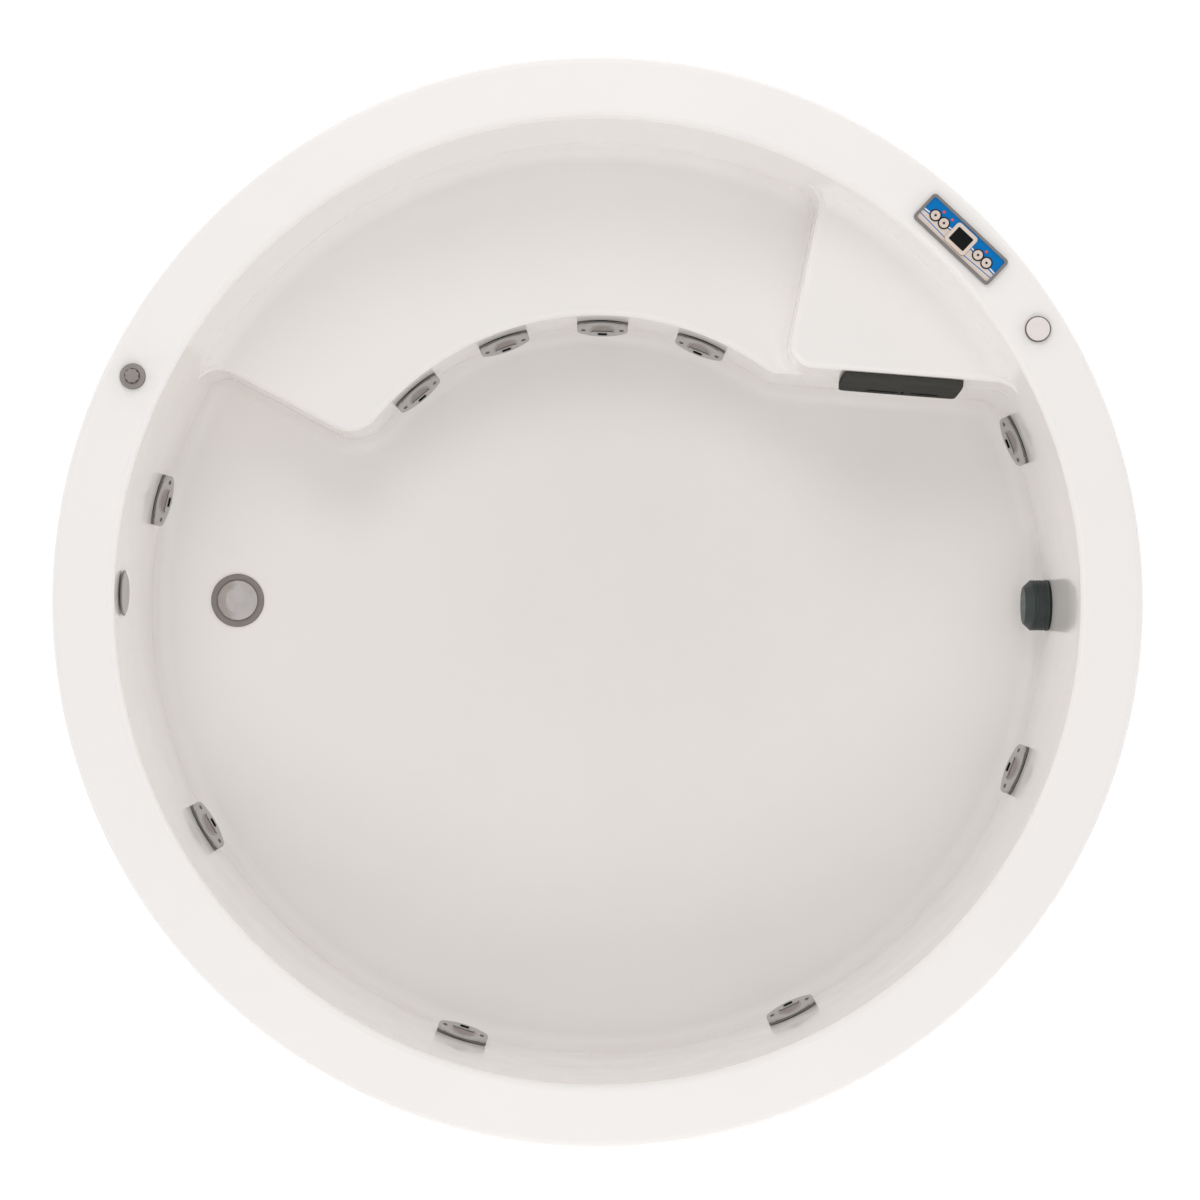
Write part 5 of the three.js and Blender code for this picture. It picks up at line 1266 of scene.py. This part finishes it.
def panel_keys():
    """Round keys with a dark dot, each in a dark ring on the face, and a lamp beside the first three."""
    low, high = PANEL_FACE - 0.0003, 0.0066
    for at, x in enumerate(KEYS, 1):
        place = PANEL @ shifted(x)
        ring = turned(f"key_ring_{at}", [(0.0084, low), (0.0102, low), (0.0102, high, 0.0002), (0.0084, high, 0.0002)],
                      48, True, 3)
        fitted(ring, BLACK, "panel_housing", place)
        key = turned(f"panel_key_{at}_fine", [
            (0.008, 0.0035, 0.0002), (0.008, 0.0081, 0.0008), (0.0052, 0.0081, 0.0004),
            (0.0044, 0.0076, 0.0004)], 48)
        dot = turned(f"panel_key_{at}_dot", [(0.0021, 0.0074), (0.0021, 0.0078), (0, 0.0079)], 20)
        for piece, finish, slot in ((key, KEY_BEIGE, "key_plastic"), (dot, BLACK, "black_plastic")):
            fitted(piece, finish, f"panel_button_{at}", place, f"panel_key_{at}")
    for at, x in enumerate(KEYS[:3], 1):
        lamp = turned(f"panel_lamp_{at}", [(0.0023, 0.0054), (0.0023, 0.0063, 0.0005), (0, 0.0067)], 24)
        place = PANEL @ shifted(x + LAMP_SHIFT, LAMP_Y)
        fitted(lamp, LAMP_RED, "panel_housing", place)


air_control()
start_button()
panel_housing()
panel_display()
panel_keys()


# CAD pieces that keep their own shape
KEPT = {
    "water_pipework": PIPE, "air_pipework": HOSE, "suction_pipe": PIPE, "overflow_pipe": GREY,
    "drain_trap": PIPE, "pump_motor": MOTOR, "pump_wet_end": BLACK, "control_box": GREY,
    "filter_housing": BLACK,
}
for name, finish in KEPT.items():
    paint(frame["nodes"][name], finish)


# Floor, light and camera

WORLD_LEVEL = 0.54
FLOOR_SIZE, FLOOR_GLOW = 40, 0.2
HIGH_LAMPS = {"rear_light": ((-0.3, 2.6, 3.2), (0, 0.7, 0.6)), "front_light": ((0, -2.6, 3.2), (0, 0.1, 0.4))}
HIGH_SIZE, HIGH_POWER = 1.6, 22
RING_LAMPS, RING_RADIUS, RING_LEVEL = 8, 5.0, 2.0
RING_TARGET, RING_SIZE, RING_POWER = (0, 0, 0.5), 1.4, 23
LENS, SENSOR = 127.5, 36
CAMERA_X, CAMERA_Y, CAMERA_LEVEL = 0.0041, -0.178, 7.66


def seen_directly(tree):
    """One where a camera, a reflection or glass sees a surface, and none where the surface lights others."""
    path = wired(tree, "ShaderNodeLightPath").outputs
    seen = maths(tree, "MAXIMUM", path["Is Camera Ray"], path["Is Glossy Ray"])
    return maths(tree, "MAXIMUM", seen, path["Is Transmission Ray"])


def floor_finish():
    finish = Finish("pale studio floor", specular=0.1)
    finish.colour((0.93, 0.93, 0.93), (0.915, 0.915, 0.915), 0.3, 1.5)
    finish.gloss(0.7, 0.8, 6)
    finish.set({"Emission Color": (1, 1, 1, 1)})
    glow = maths(finish.tree, "MULTIPLY", seen_directly(finish.tree), FLOOR_GLOW)
    finish.tree.links.new(glow, finish.inputs["Emission Strength"])
    return finish.material


def floor():
    bpy.ops.object.select_all(action="DESELECT")
    bpy.ops.mesh.primitive_plane_add(size=FLOOR_SIZE)
    plane = bpy.context.object
    plane.name = "studio_floor"
    paint(plane, floor_finish())


def world():
    """A plain soft level of light, seen as white by the camera and in reflections."""
    sky = bpy.data.worlds.new("soft studio")
    bpy.context.scene.world = sky
    sky.use_nodes = True
    tree = sky.node_tree
    tree.nodes.clear()
    level = ranged(tree, seen_directly(tree), 0.0, 1.0, WORLD_LEVEL, 1.0)
    background = wired(tree, "ShaderNodeBackground", {"Color": (1, 1, 1, 1), "Strength": level})
    wired(tree, "ShaderNodeOutputWorld", {"Surface": background.outputs[0]})


def lamp(name, place, target, size, power):
    light = bpy.data.lights.new(name, "AREA")
    light.shape = "DISK"
    light.size = size
    light.energy = power
    lamp_object = added(bpy.data.objects.new(name, light))
    look = Vector(place) - Vector(target)
    lamp_object.matrix_world = facing(Vector(place), look, (0, 0, 1) if look.z < look.length * 0.9 else (0, 1, 0))
    lamp_object.visible_glossy = False
    lamp_object.visible_camera = False


def lamps():
    """Two soft lamps high above the rear and the front, and a low ring of lamps that reaches the tub's walls."""
    for name, (place, target) in HIGH_LAMPS.items():
        lamp(name, place, target, HIGH_SIZE, HIGH_POWER)
    for at in range(RING_LAMPS):
        turn = FULL_TURN * (at + 0.5) / RING_LAMPS
        lamp(f"ring_light_{at + 1}", polar(RING_RADIUS, turn, RING_LEVEL), RING_TARGET, RING_SIZE, RING_POWER)


def camera():
    """Straight over the tub, a little towards the front, as the photograph was taken."""
    lens = bpy.data.cameras.new("overhead")
    lens.lens = LENS
    lens.sensor_width = SENSOR
    holder = added(bpy.data.objects.new("overhead", lens))
    place = Vector((CAMERA_X, CAMERA_Y, CAMERA_LEVEL))
    target = Vector((CAMERA_X, 0, RIM_LEVEL))
    holder.matrix_world = facing(place, place - target, (0, 1, 0))
    bpy.context.scene.camera = holder


floor()
world()
lamps()
camera()
bpy.context.scene.view_settings.view_transform = "Standard"
